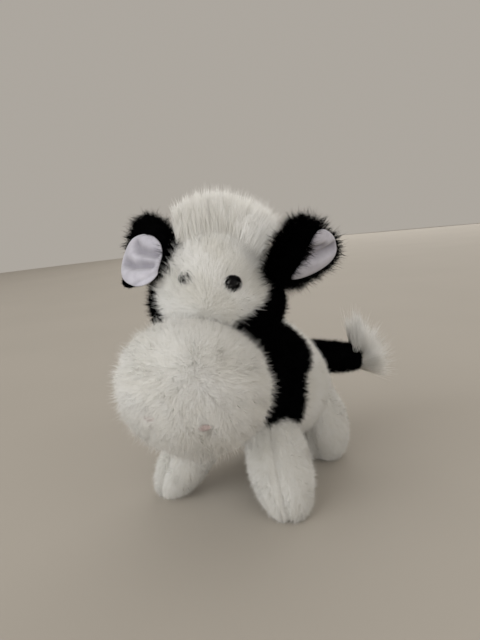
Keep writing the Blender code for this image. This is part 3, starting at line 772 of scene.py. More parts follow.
def blade_map(blades: Blades) -> np.ndarray:
    """Lay the blades out on the map's upper half, those of one tone in one cell.

    Args:
        blades: The blades.

    Returns:
        One map place for each point of the blade sheet.
    """
    count = len(blades.shade)
    bends = len(blades.rows) - 1
    rank = np.argsort(np.argsort(blades.shade))
    cell = rank * SHADE_CELLS ** 2 // max(count, 1)
    column, row = cell % SHADE_CELLS, cell // SHADE_CELLS
    points = []
    for step in range(bends):
        up = 0.5 + (row + 0.15 + 0.7 * step / bends) / SHADE_CELLS / 2.0
        for share in (0.2, 0.8):
            points.append(np.stack([(column + share) / SHADE_CELLS, up], axis=1))
    pairs = [np.stack(points[index:index + 2], axis=1).reshape(-1, 2)
             for index in range(0, len(points), 2)]
    tip = np.stack([(column + 0.5) / SHADE_CELLS, 0.5 + (row + 0.85) / SHADE_CELLS / 2.0], axis=1)
    return np.concatenate([*pairs, tip])


def plush_mesh(name: str, skin: bpy.types.Mesh, blades: Blades) -> bpy.types.Mesh:
    """Join a skin and its pile in one mesh, with the pile's attributes.

    Args:
        name: The mesh's name.
        skin: The skin under the pile.
        blades: The pile.

    Returns:
        The joined mesh at its place in the row frame.
    """
    bends, count = len(blades.rows) - 1, len(blades.shade)
    skin_places, skin_normals = corners(skin)
    skin_loops = len(skin.loops)
    skin_map = np.empty(skin_loops * 2, dtype=np.float32)
    skin.uv_layers[BAKE_MAP].data.foreach_get("uv", skin_map)
    skin_map = skin_map.reshape(-1, 2) * SKIN_MAP
    sheet = mesh_of(blade_sheet(count, bends), name + "_pile")
    bm = bmesh.new()
    bm.from_mesh(sheet)
    bm.from_mesh(skin)
    bpy.data.meshes.remove(sheet)
    for face in bm.faces:
        face.smooth = True
    mesh = mesh_of(bm, name)
    sheets = [np.stack([row - half, row + half], axis=1).reshape(-1, 3)
              for row, half in zip(blades.rows, blades.halves)]
    places = np.concatenate([*sheets, blades.rows[-1], skin_places]) + np.array(STAND)
    places[:, 2] = np.maximum(places[:, 2], FLOOR_LIFT)
    normals = np.concatenate([np.repeat(blades.facing, 2, axis=0)] * bends + [blades.facing, skin_normals])
    steps = np.linspace(0.0, 1.0, bends + 1)
    along = np.concatenate([np.full(2 * count, step) for step in steps[:-1]]
                           + [np.ones(count), np.full(len(skin_places), SKIN_ALONG)])
    shade = np.concatenate([np.repeat(blades.shade, 2)] * bends
                           + [blades.shade, np.full(len(skin_places), SKIN_SHADE)])
    mesh.vertices.foreach_set("co", places.ravel())
    for label, values in (("along", along), ("shade", shade)):
        mesh.attributes.new(label, "FLOAT", "POINT").data.foreach_set("value", values)
    ids = np.empty(len(mesh.loops), dtype=np.int32)
    mesh.loops.foreach_get("vertex_index", ids)
    on_map = np.concatenate([blade_map(blades)[ids[:-skin_loops]], skin_map])
    mesh.uv_layers[BAKE_MAP].data.foreach_set("uv", on_map.ravel())
    mesh.update()
    mesh.normals_split_custom_set_from_vertices(normals)
    return mesh


def skin_part(form: bpy.types.Mesh, keep: Shares, name: str) -> bpy.types.Mesh:
    """Cut one panel out of a form and turn its edge in at the seams.

    Args:
        form: The whole closed form.
        keep: Tells which face middles belong to the panel.
        name: The panel's name.

    Returns:
        The panel.
    """
    bm = bmesh.new()
    bm.from_mesh(form)
    middles = np.array([face.calc_center_median() for face in bm.faces])
    kept = keep(middles)
    dropped = [face for face, stays in zip(bm.faces, kept) if not stays]
    bmesh.ops.delete(bm, geom=dropped, context="FACES")
    if len(dropped):
        bmesh.ops.solidify(bm, geom=bm.faces[:], thickness=SKIN_TURN_IN)
    return mesh_of(bm, name)


class Neighbours:
    """The toy's closed forms, which no pile grows inside."""

    def __init__(self) -> None:
        """Start with no forms."""
        self.trees: dict[str, BVHTree] = {}

    def add(self, name: str, bm: bmesh.types.BMesh) -> None:
        """Remember a closed form by name, and free its bmesh."""
        mesh = mesh_of(bm, name + "_form")
        self.trees[name] = BVHTree.FromPolygons(corners(mesh)[0].tolist(), triangles(mesh).tolist())
        bpy.data.meshes.remove(mesh)

    def clear(self, roots: Roots, of: Iterable[str], depth: float) -> Roots:
        """Drop the roots that lie deeper than a depth inside any of the named forms.

        Args:
            roots: The roots.
            of: The forms' names.
            depth: How deep a root may lie.

        Returns:
            The roots that stay.
        """
        keep = np.ones(len(roots), dtype=bool)
        for name in of:
            tree = self.trees[name]
            for index in np.flatnonzero(keep):
                place = Vector(roots.places[index])
                near, normal, _, _ = tree.find_nearest(place)
                if (place - near).dot(normal) < -depth:
                    keep[index] = False
        return roots.only(keep)


def finished(name: str, mesh: bpy.types.Mesh, finish: Finish, rider: Rider,
             fill: float | None = None) -> None:
    """Put a mesh in the scene as a piece of the toy and report it.

    Args:
        name: The piece's name, which is also the node of the frame that it stands for.
        mesh: Its mesh, at its place in the row frame.
        finish: What it is made of.
        rider: The body that it moves with.
        fill: How tightly it is stuffed, if it is; not used.
    """
    mesh.name = name + "_" + finish.made_of
    mesh.materials.append(finish.material())
    piece = bpy.data.objects.new(mesh.name, mesh)
    bpy.context.scene.collection.objects.link(piece)
    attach(piece, rider.value)
    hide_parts(name)
    log.info("%s: %d points, %d faces", piece.name, len(mesh.vertices), len(mesh.polygons))


@dataclass(frozen=True)
class Panel:
    """One panel of a form: where it lies on it, its finish and its pile."""

    name: str
    region: Shares
    finish: PileFinish
    pile: Pile
    trim: Shares | None = None
    upright: Shares | None = None


def make_panels(panels: Sequence[Panel], form: bpy.types.Mesh, roots: Roots, comb: Comb, seed: int,
                rider: Rider, fill: float) -> None:
    """Cut a form into its panels, each with its pile.

    Args:
        panels: The panels.
        form: The whole form.
        roots: The roots all over the form.
        comb: How the pile is combed.
        seed: Which pile to give the first panel.
        rider: The body that the panels move with.
        fill: How tightly they are stuffed.
    """
    for number, panel in enumerate(panels):
        own = roots.only(panel.region(roots.places))
        blades = grow(panel.pile, own, comb, seed + number, panel.trim, panel.upright)
        skin = skin_part(form, panel.region, panel.name + "_skin")
        finished(panel.name, plush_mesh(panel.name, skin, blades), panel.finish, rider, fill)


def bare_mesh(bm: bmesh.types.BMesh, name: str) -> bpy.types.Mesh:
    """A smooth-shaded mesh without pile, moved to where the toy stands.

    Args:
        bm: The shape, freed here.
        name: The mesh's name.

    Returns:
        The mesh.
    """
    bmesh.ops.translate(bm, vec=STAND, verts=bm.verts)
    for face in bm.faces:
        face.smooth = True
    return mesh_of(bm, name)


def laid_along(way: Sequence[float]) -> Comb:
    """A comb that lays the pile one way all over."""
    return lambda places, out: np.broadcast_to(np.array(way, dtype=float), places.shape)


# Trunk
@dataclass
class Trunk:
    """The trunk's panels, flank patches, belly gusset and neck skin."""

    length: float = 0.095
    width: float = 0.062
    height: float = 0.075
    middle_y: float = 0.0005
    middle_z: float = 0.060
    slope: float = 0.020
    fullness: float = 0.78
    rear_width: float = 0.10
    top_pinch: float = 0.20
    front_height: float = 0.05
    belly_width: float = 0.024
    belly_drop: float = 0.01
    neck: Triple = (0.0, -0.0300, 0.0955)
    neck_diameter: float = 0.038
    neck_height: float = 0.032
    patch_shares: tuple[Flat, ...] = (
        (-0.56, 0.20), (-0.40, 0.40), (-0.12, 0.48), (0.07, 0.43), (0.20, 0.25), (0.13, 0.12),
        (0.02, 0.07), (-0.03, -0.05), (-0.045, -0.19), (-0.14, -0.28), (-0.24, -0.25), (-0.33, -0.10),
    )
    ridge_width: float = 0.0028
    ridge_rib: float = 0.0026
    ridge_lift: float = 0.75
    ridge_dip: float = 0.40
    skin_depth: float = 0.0013
    neck_skin_depth: float = 0.0015
    overlap: float = 0.0008
    neck_overlap: float = 0.0010
    lay: Triple = (0.0, 0.7, -1.0)
    neck_lay: Triple = (0.0, 0.2, -1.0)
    fill: float = 0.85
    white: Pile = Pile(length=0.0036, lean=48.0, per_square_mm=7.0, width=0.00020, ruffle=0.40,
                       tuft_pull=0.30, stray=0.30)
    black: Pile = Pile(length=0.0040, lean=46.0, per_square_mm=7.0, width=0.00018, ruffle=0.45,
                       tuft_pull=0.45, stray=0.30)

    def place(self, polar: float, turn: float) -> Vector:
        """A point of the trunk, front pole to rear pole, with turn 0 along the spine."""
        along = -math.cos(polar)
        swell = math.sin(polar) ** self.fullness
        upright = math.cos(turn)
        width = self.width / 2.0 * (1.0 + self.rear_width * along) * (1.0 - self.top_pinch * upright)
        height = self.height / 2.0 * (1.0 - self.front_height * along)
        return Vector((
            width * swell * math.sin(turn),
            self.middle_y + self.length / 2.0 * along,
            self.middle_z - self.slope / 2.0 * along + height * swell * upright,
        ))

    def form(self) -> bmesh.types.BMesh:
        """The whole closed trunk."""
        return swollen_form(self.place, around=96, rings=72)

    def patch_outline(self) -> list[Flat]:
        """The flank patch's outline in the side view."""
        return smooth_outline([(self.middle_y + along * self.length, self.middle_z + up * self.height)
                               for along, up in self.patch_shares])

    def neck_form(self) -> bmesh.types.BMesh:
        """The neck's closed dome."""
        middle = Vector(self.neck)
        radius, half = self.neck_diameter / 2.0, self.neck_height / 2.0

        def place(polar: float, turn: float) -> Vector:
            """A point of the dome."""
            return middle + Vector((radius * math.sin(polar) * math.cos(turn),
                                    radius * math.sin(polar) * math.sin(turn), half * math.cos(polar)))
        return swollen_form(place, around=40, rings=24)

    def build(self, near: Neighbours) -> None:
        """Make the trunk's skins with their pile.

        Args:
            near: The forms that the pile keeps out of.
        """
        form = drawn_in(mesh_of(self.form(), "trunk_form"), self.skin_depth)
        outline = self.patch_outline()

        def in_patch(places: np.ndarray) -> np.ndarray:
            """Tell what lies in either flank patch."""
            return flat_inside(outline, places[:, 1], places[:, 2]) & (np.abs(places[:, 0]) > 0.0003)

        def in_belly(places: np.ndarray) -> np.ndarray:
            """Tell what lies in the belly gusset, pointed at both ends."""
            share = np.clip((places[:, 1] - self.middle_y) / (self.length / 2.0), -1.0, 1.0)
            half = self.belly_width / 2.0 * np.cos(share * math.pi / 2.0)
            return (np.abs(places[:, 0]) < half) & (places[:, 2] < self.middle_z - self.belly_drop)

        def in_panel(side: Side) -> Shares:
            """The test for one side panel."""
            return lambda p: (p[:, 0] * side.value > 0.0) & ~in_patch(p) & ~in_belly(p)

        def in_flank(side: Side) -> Shares:
            """The test for one flank patch."""
            return lambda p: (p[:, 0] * side.value > 0.0) & in_patch(p)

        rim = np.array(outline)
        rim_middle = rim.mean(axis=0)

        def ridge(places: np.ndarray) -> np.ndarray:
            """Lift the white pile in ribs along the patch's upper rim."""
            flat = places[:, 1:]
            gap = np.min(np.linalg.norm(flat[:, None] - rim[None], axis=2), axis=1)
            way = np.arctan2(flat[:, 1] - rim_middle[1], flat[:, 0] - rim_middle[0])
            reach = np.linalg.norm(flat - rim_middle, axis=1)
            rib = 0.5 + 0.5 * np.cos(way * reach * math.tau / self.ridge_rib)
            near_by = faded(gap, self.ridge_width) * (flat[:, 1] > self.middle_z)
            return 1.0 + near_by * (self.ridge_lift * rib - self.ridge_dip)

        around = ("head", "muzzle", "neck", "leg_front_left", "leg_front_right", "leg_rear_left",
                  "leg_rear_right")
        roots = roots_on(form, self.white.per_square_mm, Draw.TRUNK_ROOTS)
        panels = [Panel("belly_gusset", in_belly, WHITE_PLUSH, self.white, ridge)]
        for side in Side:
            panels += [Panel("body_panel_" + side.word, in_panel(side), WHITE_PLUSH, self.white, ridge),
                       Panel("flank_patch_" + side.word, in_flank(side), BLACK_PLUSH, self.black)]
        make_panels(panels, form, near.clear(roots, around, self.overlap), laid_along(self.lay),
                    Draw.TRUNK_PILE, Rider.TRUNK, self.fill)
        self.make_neck(near)

    def make_neck(self, near: Neighbours) -> None:
        """Make the neck's skin with its pile.

        Args:
            near: The forms that the pile keeps out of.
        """
        form = drawn_in(mesh_of(self.neck_form(), "neck_form"), self.neck_skin_depth)
        roots = roots_on(form, self.white.per_square_mm, Draw.NECK_ROOTS)
        roots = near.clear(roots, ("head", "muzzle", "trunk"), self.neck_overlap)
        blades = grow(self.white, roots, laid_along(self.neck_lay), Draw.NECK_PILE)
        finished("neck_skin", plush_mesh("neck_skin", form, blades), WHITE_PLUSH, Rider.TRUNK, self.fill)


# Legs
@dataclass
class Leg:
    """One leg: a swollen tube with a seam down its front and a flat sole."""

    name: str
    side: Side
    foot: Flat
    hip: Flat
    toe_out: float
    diameter: float = 0.0325
    length: float = 0.050
    sole_press: float = 0.0005
    fullness: float = 0.80
    seam_draw: float = 0.0021
    seam_width: float = 0.14
    parting: float = 1.3
    parting_width: float = 0.0035
    trimmed: float = 0.72
    trimmed_width: float = 0.0015
    skin_depth: float = 0.0015
    overlap: float = 0.0015
    fill: float = 0.85
    pile: Pile = Pile(length=0.0033, lean=46.0, per_square_mm=8.0, width=0.00020, ruffle=0.35,
                      tuft_pull=0.30, stray=0.30)

    @property
    def facing(self) -> float:
        """The way that the leg's seam faces, as an angle from +X."""
        return math.radians(-90.0 + self.side.value * self.toe_out)

    def place(self, polar: float, turn: float) -> Vector:
        """A point of the leg, top pole to sole, with turn 0 at the seam down its front."""
        upright = math.cos(polar)
        swell = math.sin(polar) ** self.fullness
        lean = (upright + 1.0) / 2.0
        middle = Vector(self.foot).lerp(Vector(self.hip), lean)
        radius = self.diameter / 2.0 * swell
        radius -= self.seam_draw * swell * (1.0 - lean) * math.exp(-(turn / self.seam_width) ** 2)
        facing = self.facing + turn
        return Vector((
            middle.x + radius * math.cos(facing),
            middle.y + radius * math.sin(facing),
            max(0.0, self.length / 2.0 - self.sole_press + self.length / 2.0 * upright),
        ))

    def form(self) -> bmesh.types.BMesh:
        """The whole closed leg."""
        return swollen_form(self.place, around=64, rings=40)

    def build(self, near: Neighbours) -> None:
        """Make the leg's skin with its pile.

        Args:
            near: The forms that the pile keeps out of.
        """
        form = drawn_in(mesh_of(self.form(), self.name + "_form"), self.skin_depth, level=True)
        roots = roots_on(form, self.pile.per_square_mm, Draw.LEG_ROOTS)
        roots = near.clear(roots, ("trunk", "muzzle"), self.overlap)
        roots = roots.only((roots.out[:, 2] > -0.75) & (roots.places[:, 2] > 0.0004))
        front = np.array((math.cos(self.facing), math.sin(self.facing), 0.0))
        across = np.array((-math.sin(self.facing), math.cos(self.facing), 0.0))
        middle = np.array((*self.foot, 0.0))

        def seam(places: np.ndarray) -> np.ndarray:
            """How far each place lies to the side of the seam, or far off behind it."""
            lean = np.clip(places[:, 2] / self.length, 0.0, 1.0)[:, None]
            centre = middle + (np.array((*self.hip, 0.0)) - middle) * lean
            offset = (places - centre) @ across
            ahead = (places - centre) @ front > 0.0
            return np.where(ahead, offset, 1.0)

        def comb(places: np.ndarray, out: np.ndarray) -> np.ndarray:
            """Comb the pile down, and in towards the seam."""
            offset = seam(places)
            pull = faded(offset, self.parting_width) * np.sign(-offset)
            return np.array(-UP) + across * (self.parting * pull)[:, None]

        def trim(places: np.ndarray) -> np.ndarray:
            """Shorten the pile along the seam."""
            return 1.0 - self.trimmed * faded(seam(places), self.trimmed_width)

        blades = grow(self.pile, roots, comb, Draw.LEG_PILE, trim)
        mesh = plush_mesh(self.name, form, blades)
        finished(self.name, mesh, WHITE_PLUSH, Rider.TRUNK, self.fill)


# Head
@dataclass
class Head:
    """The head: its white face, black sides and eyes."""

    width: float = 0.061
    depth: float = 0.051
    height: float = 0.060
    y: float = -0.0405
    z: float = 0.1170
    neck_y: float = -0.0300
    neck_z: float = 0.0955
    rest_turn: float = 29.0
    rest_tilt: float = 12.0
    face_left_shares: tuple[Flat, ...] = (
        (0.0, 0.62), (0.22, 0.57), (0.32, 0.36), (0.37, 0.15), (0.35, 0.02), (0.26, -0.06),
        (0.16, -0.14), (0.09, -0.30), (0.0, -0.42),
    )
    face_right_shares: tuple[Flat, ...] = (
        (0.0, 0.62), (0.22, 0.57), (0.32, 0.36), (0.375, 0.13), (0.355, -0.05), (0.29, -0.17),
        (0.22, -0.25), (0.12, -0.34), (0.0, -0.42),
    )
    face_back_share: float = 0.16
    eye_polar: float = 73.0
    eye_turn: float = 22.0
    eye_diameter: float = 0.0082
    eye_bulge: float = 0.0034
    eye_bare: Flat = (0.0024, 0.0005)
    eye_notch: Flat = (0.0008, 0.0005)
    eye_shortest: Flat = (0.60, 1.0)
    eye_above: Flat = (0.1, -2.0)
    eye_below: Flat = (-3.0, -0.8)
    skin_depth: float = 0.0012
    overlap: float = 0.0004
    fill: float = 0.9
    face: Pile = Pile(length=0.0052, lean=52.0, per_square_mm=10.0, width=0.00018, ruffle=0.35,
                      tuft_pull=0.22)
    black: Pile = Pile(length=0.0048, lean=46.0, per_square_mm=8.0, width=0.00018, ruffle=0.45,
                       tuft_pull=0.45, stray=0.30)

    @property
    def pose(self) -> Matrix:
        """The turn and tilt that the head rests at, about the neck."""
        middle = Matrix.Translation((0.0, self.neck_y, self.neck_z))
        turn = Matrix.Rotation(math.radians(self.rest_turn), 4, "Z")
        tilt = Matrix.Rotation(math.radians(self.rest_tilt), 4, "Y")
        return middle @ turn @ tilt @ middle.inverted()

    def own(self, places: np.ndarray) -> np.ndarray:
        """Places in the head's own frame, before it was turned and tilted."""
        return placed(places, np.array(self.pose.inverted()))

    def place(self, polar: float, turn: float) -> Vector:
        """A point of the head, crown to throat, with turn 0 at the front and 90 degrees at +X."""
        upright = math.cos(polar)
        swell = math.sin(polar) ** 0.92
        return self.pose @ Vector((
            self.width / 2.0 * swell * (1.0 - 0.12 * upright) * math.sin(turn),
            self.y - self.depth / 2.0 * swell * math.cos(turn),
            self.z + self.height / 2.0 * upright,
        ))

    def form(self) -> bmesh.types.BMesh:
        """The whole closed head."""
        return swollen_form(self.place, around=80, rings=56)

    def face_outline(self) -> list[Flat]:
        """The face panel's outline seen from the front."""
        left = [(x * self.width, self.z + z * self.height) for x, z in self.face_left_shares]
        right = [(-x * self.width, self.z + z * self.height)
                 for x, z in reversed(self.face_right_shares[1:-1])]
        return smooth_outline(left + right)

    def eye_frame(self, side: Side) -> Matrix:
        """An eye's frame on the face, Z pointing out."""
        return surface_frame(self.place, self.eye_polar, side.value * self.eye_turn)

    def build(self, near: Neighbours) -> None:
        """Make the face, the black sides and the eyes.

        Args:
            near: The forms that the pile keeps out of.
        """
        form = drawn_in(mesh_of(self.form(), "head_form"), self.skin_depth)
        outline = self.face_outline()

        def in_face(places: np.ndarray) -> np.ndarray:
            """Tell what lies in the white face."""
            own = self.own(places)
            ahead = own[:, 1] < self.y + self.face_back_share * self.depth
            return flat_inside(outline, own[:, 0], own[:, 2]) & ahead

        def in_side(side: Side) -> Shares:
            """The test for one black side."""
            return lambda p: ~in_face(p) & (self.own(p)[:, 0] * side.value > 0.0)

        roots = roots_on(form, self.face.per_square_mm, Draw.HEAD_ROOTS)
        roots = near.clear(roots, ("muzzle", "trunk"), self.overlap)
        eyes = [np.array(self.eye_frame(side).to_translation()) for side in Side]
        whorl = np.array(self.pose @ Vector((0.0, self.y - self.depth / 2.0, self.z - 0.006)))

        def fall(places: np.ndarray) -> np.ndarray:
            """A share that grows below the face's middle."""
            return np.clip((whorl[2] - places[:, 2] - 0.008) / 0.006, 0.0, 1.0)

        def upright(places: np.ndarray) -> np.ndarray:
            """Let the lower pile stand up more."""
            return 1.0 - 0.60 * fall(places)

        def trim(places: np.ndarray) -> np.ndarray:
            """Shorten the pile round the eyes and lengthen it below."""
            share = np.ones(len(places))
            for eye, radius, least in zip(eyes, self.eye_bare, self.eye_shortest):
                gap = np.linalg.norm(places - eye, axis=1)
                share = np.minimum(share, np.clip((gap - 0.8 * radius) / 0.0042, least, 1.0))
            return share * (1.0 + 0.40 * fall(places))

        def comb(places: np.ndarray, out: np.ndarray) -> np.ndarray:
            """Comb the pile away from the face's middle and round the eyes."""
            laid = unit_rows(places - whorl)
            laid[:, 2] += 0.15
            for eye, above, below in zip(eyes, self.eye_above, self.eye_below):
                gap = places - eye
                size = np.linalg.norm(gap, axis=1, keepdims=True)
                strength = np.where(gap[:, 2:] > -0.4 * size, above, below)
                laid = laid + strength * gap / size * faded(size, 0.0058)
            return laid

        free = np.ones(len(roots), dtype=bool)
        for eye, radius, notch in zip(eyes, self.eye_bare, self.eye_notch):
            gap = roots.places - eye
            size = np.linalg.norm(gap, axis=1)
            free &= size > np.where(gap[:, 2] < -0.75 * size, notch, radius)
        roots = roots.only(free)
        panels = [Panel("face_panel", in_face, WHITE_PLUSH, self.face, trim, upright)]
        panels += [Panel("head_side_" + side.word, in_side(side), BLACK_PLUSH, self.black, trim, upright)
                   for side in Side]
        make_panels(panels, form, roots, comb, Draw.HEAD_PILE, Rider.HEAD, self.fill)
        for side in Side:
            self.make_eye(side)

    def make_eye(self, side: Side) -> None:
        """Spin a glossy domed eye with its flange.

        Args:
            side: Which eye.
        """
        radius, steps = self.eye_diameter / 2.0, 14
        outline = [(radius * math.sin(math.pi / 2.0 * step / steps),
                    -0.0008 + self.eye_bulge * math.cos(math.pi / 2.0 * step / steps))
                   for step in range(steps + 1)]
        outline += [(radius * 1.03, -0.0010), (radius * 1.03, -0.0014), (0.0013, -0.0015),
                    (0.0013, -0.0098), (0.0, -0.0098)]
        bm = bmesh.new()
        verts = [bm.verts.new((out, 0.0, up)) for out, up in outline]
        edges = [bm.edges.new(pair) for pair in zip(verts, verts[1:])]
        bmesh.ops.spin(bm, geom=verts + edges, cent=(0.0, 0.0, 0.0), axis=(0.0, 0.0, 1.0),
                       angle=math.tau, steps=48, use_merge=True)
        bmesh.ops.remove_doubles(bm, verts=bm.verts, dist=0.00001)
        bmesh.ops.recalc_face_normals(bm, faces=bm.faces)
        at = self.eye_frame(side) @ Matrix.Translation((0.0, 0.0, -0.0006))
        bmesh.ops.transform(bm, matrix=at, verts=bm.verts)
        name = "eye_" + side.word
        finished(name, bare_mesh(bm, name), EYE_GLOSS, Rider.HEAD)


# Muzzle
@dataclass
class Muzzle:
    """The big furry muzzle with its whorl and two stitched nostrils."""

    head: Head
    width: float = 0.063
    depth: float = 0.053
    height: float = 0.054
    y: float = -0.0745
    z: float = 0.0800
    nostril_polar: float = 104.0
    nostril_turn: float = 21.0
    pile: Pile = Pile(length=0.0046, lean=52.0, per_square_mm=15.0, width=0.00018, ruffle=0.52,
                      ruffle_size=0.010, tuft_size=0.0012, tuft_pull=0.20, unevenness=0.3, stray=0.34,
                      wild=0.07, wild_reach=1.5)
    settle: Triple = (0.0, 0.0, 0.0018)
    skin_depth: float = 0.0016
    overlap: float = 0.0025
    nostril_size: Triple = (0.0028, 0.0014, 0.0010)

    def place(self, polar: float, turn: float) -> Vector:
        """A point of the muzzle, top to chin, with turn 0 at the front and 90 degrees at +X."""
        upright = math.cos(polar)
        swell = math.sin(polar) ** 0.93
        return self.head.pose @ Vector((
            self.width / 2.0 * swell * math.sin(turn),
            self.y - self.depth / 2.0 * swell * math.cos(turn),
            self.z + self.height / 2.0 * upright,
        )) + Vector(self.settle)

    def form(self) -> bmesh.types.BMesh:
        """The whole closed muzzle."""
        return swollen_form(self.place, around=80, rings=60)

    def nostril_frame(self, side: Side) -> Matrix:
        """A nostril's frame on the muzzle, Z pointing out."""
        return surface_frame(self.place, self.nostril_polar, side.value * self.nostril_turn)

    def build(self, near: Neighbours) -> None:
        """Make the muzzle's skin with its pile, and the nostrils.

        Args:
            near: The forms that the pile keeps out of.
        """
        form = drawn_in(mesh_of(self.form(), "muzzle_form"), self.skin_depth)
        roots = roots_on(form, self.pile.per_square_mm, Draw.MUZZLE_ROOTS)
        roots = near.clear(roots, ("head", "trunk", "neck"), self.overlap)
        whorl = np.array(self.head.pose @ Vector((0.002, self.y - self.depth * 0.38, self.z + 0.0195)))
        whorl = whorl + np.array(self.settle)
        marks = [np.array(self.nostril_frame(side).to_translation()) for side in Side]
        chin = np.array(self.place(math.radians(166.0), math.radians(35.0)))

        def fringe(places: np.ndarray) -> np.ndarray:
            """A share that grows towards the chin."""
            return faded(np.linalg.norm(places - chin, axis=1), 0.011)

        def comb(places: np.ndarray, out: np.ndarray) -> np.ndarray:
            """Comb the pile away from the whorl and towards the nostrils."""
            laid = unit_rows(places - whorl)
            for mark in marks:
                gap = places - mark
                size = np.linalg.norm(gap, axis=1, keepdims=True)
                laid = laid - 1.6 * gap / size * faded(size, 0.006)
            return laid

        def trim(places: np.ndarray) -> np.ndarray:
            """Shorten the pile round one nostril and lengthen it at the chin."""
            share = np.ones(len(places))
            for mark, least in zip(marks, (0.40, 1.0)):
                gap = np.linalg.norm(places - mark, axis=1)
                share = np.minimum(share, np.clip(gap / 0.0050, least, 1.0))
            return share * (1.0 + 0.55 * fringe(places))

        def upright(places: np.ndarray) -> np.ndarray:
            """Let the pile stand up at the whorl and the chin."""
            gap = np.linalg.norm(places - whorl, axis=1)
            return np.clip(gap / 0.010, 0.80, 1.0) * (1.0 - 0.55 * fringe(places))

        blades = grow(self.pile, roots, comb, Draw.MUZZLE_PILE, trim, upright)
        mesh = plush_mesh("muzzle_skin", form, blades)
        finished("muzzle_skin", mesh, WHITE_PLUSH, Rider.HEAD, 0.95)
        for side in Side:
            self.make_nostril(side)

    def make_nostril(self, side: Side) -> None:
        """Stitch one nostril: a row of thread rolls over an oval pad.

        Args:
            side: Which nostril.
        """
        at = self.nostril_frame(side)
        long, wide, thick = self.nostril_size

        def place(polar: float, turn: float) -> Vector:
            """A point of the ribbed pad."""
            size = math.sin(polar)
            rib = 1.0 + 0.12 * math.cos(9.0 * size * math.cos(turn) * math.pi)
            return at @ Vector((long * size * math.cos(turn), wide * size * math.sin(turn),
                                thick * math.cos(polar) * rib))
        name = "nostril_" + side.word
        finished(name, bare_mesh(swollen_form(place, around=40, rings=16), name), NOSTRIL_THREAD, Rider.HEAD)


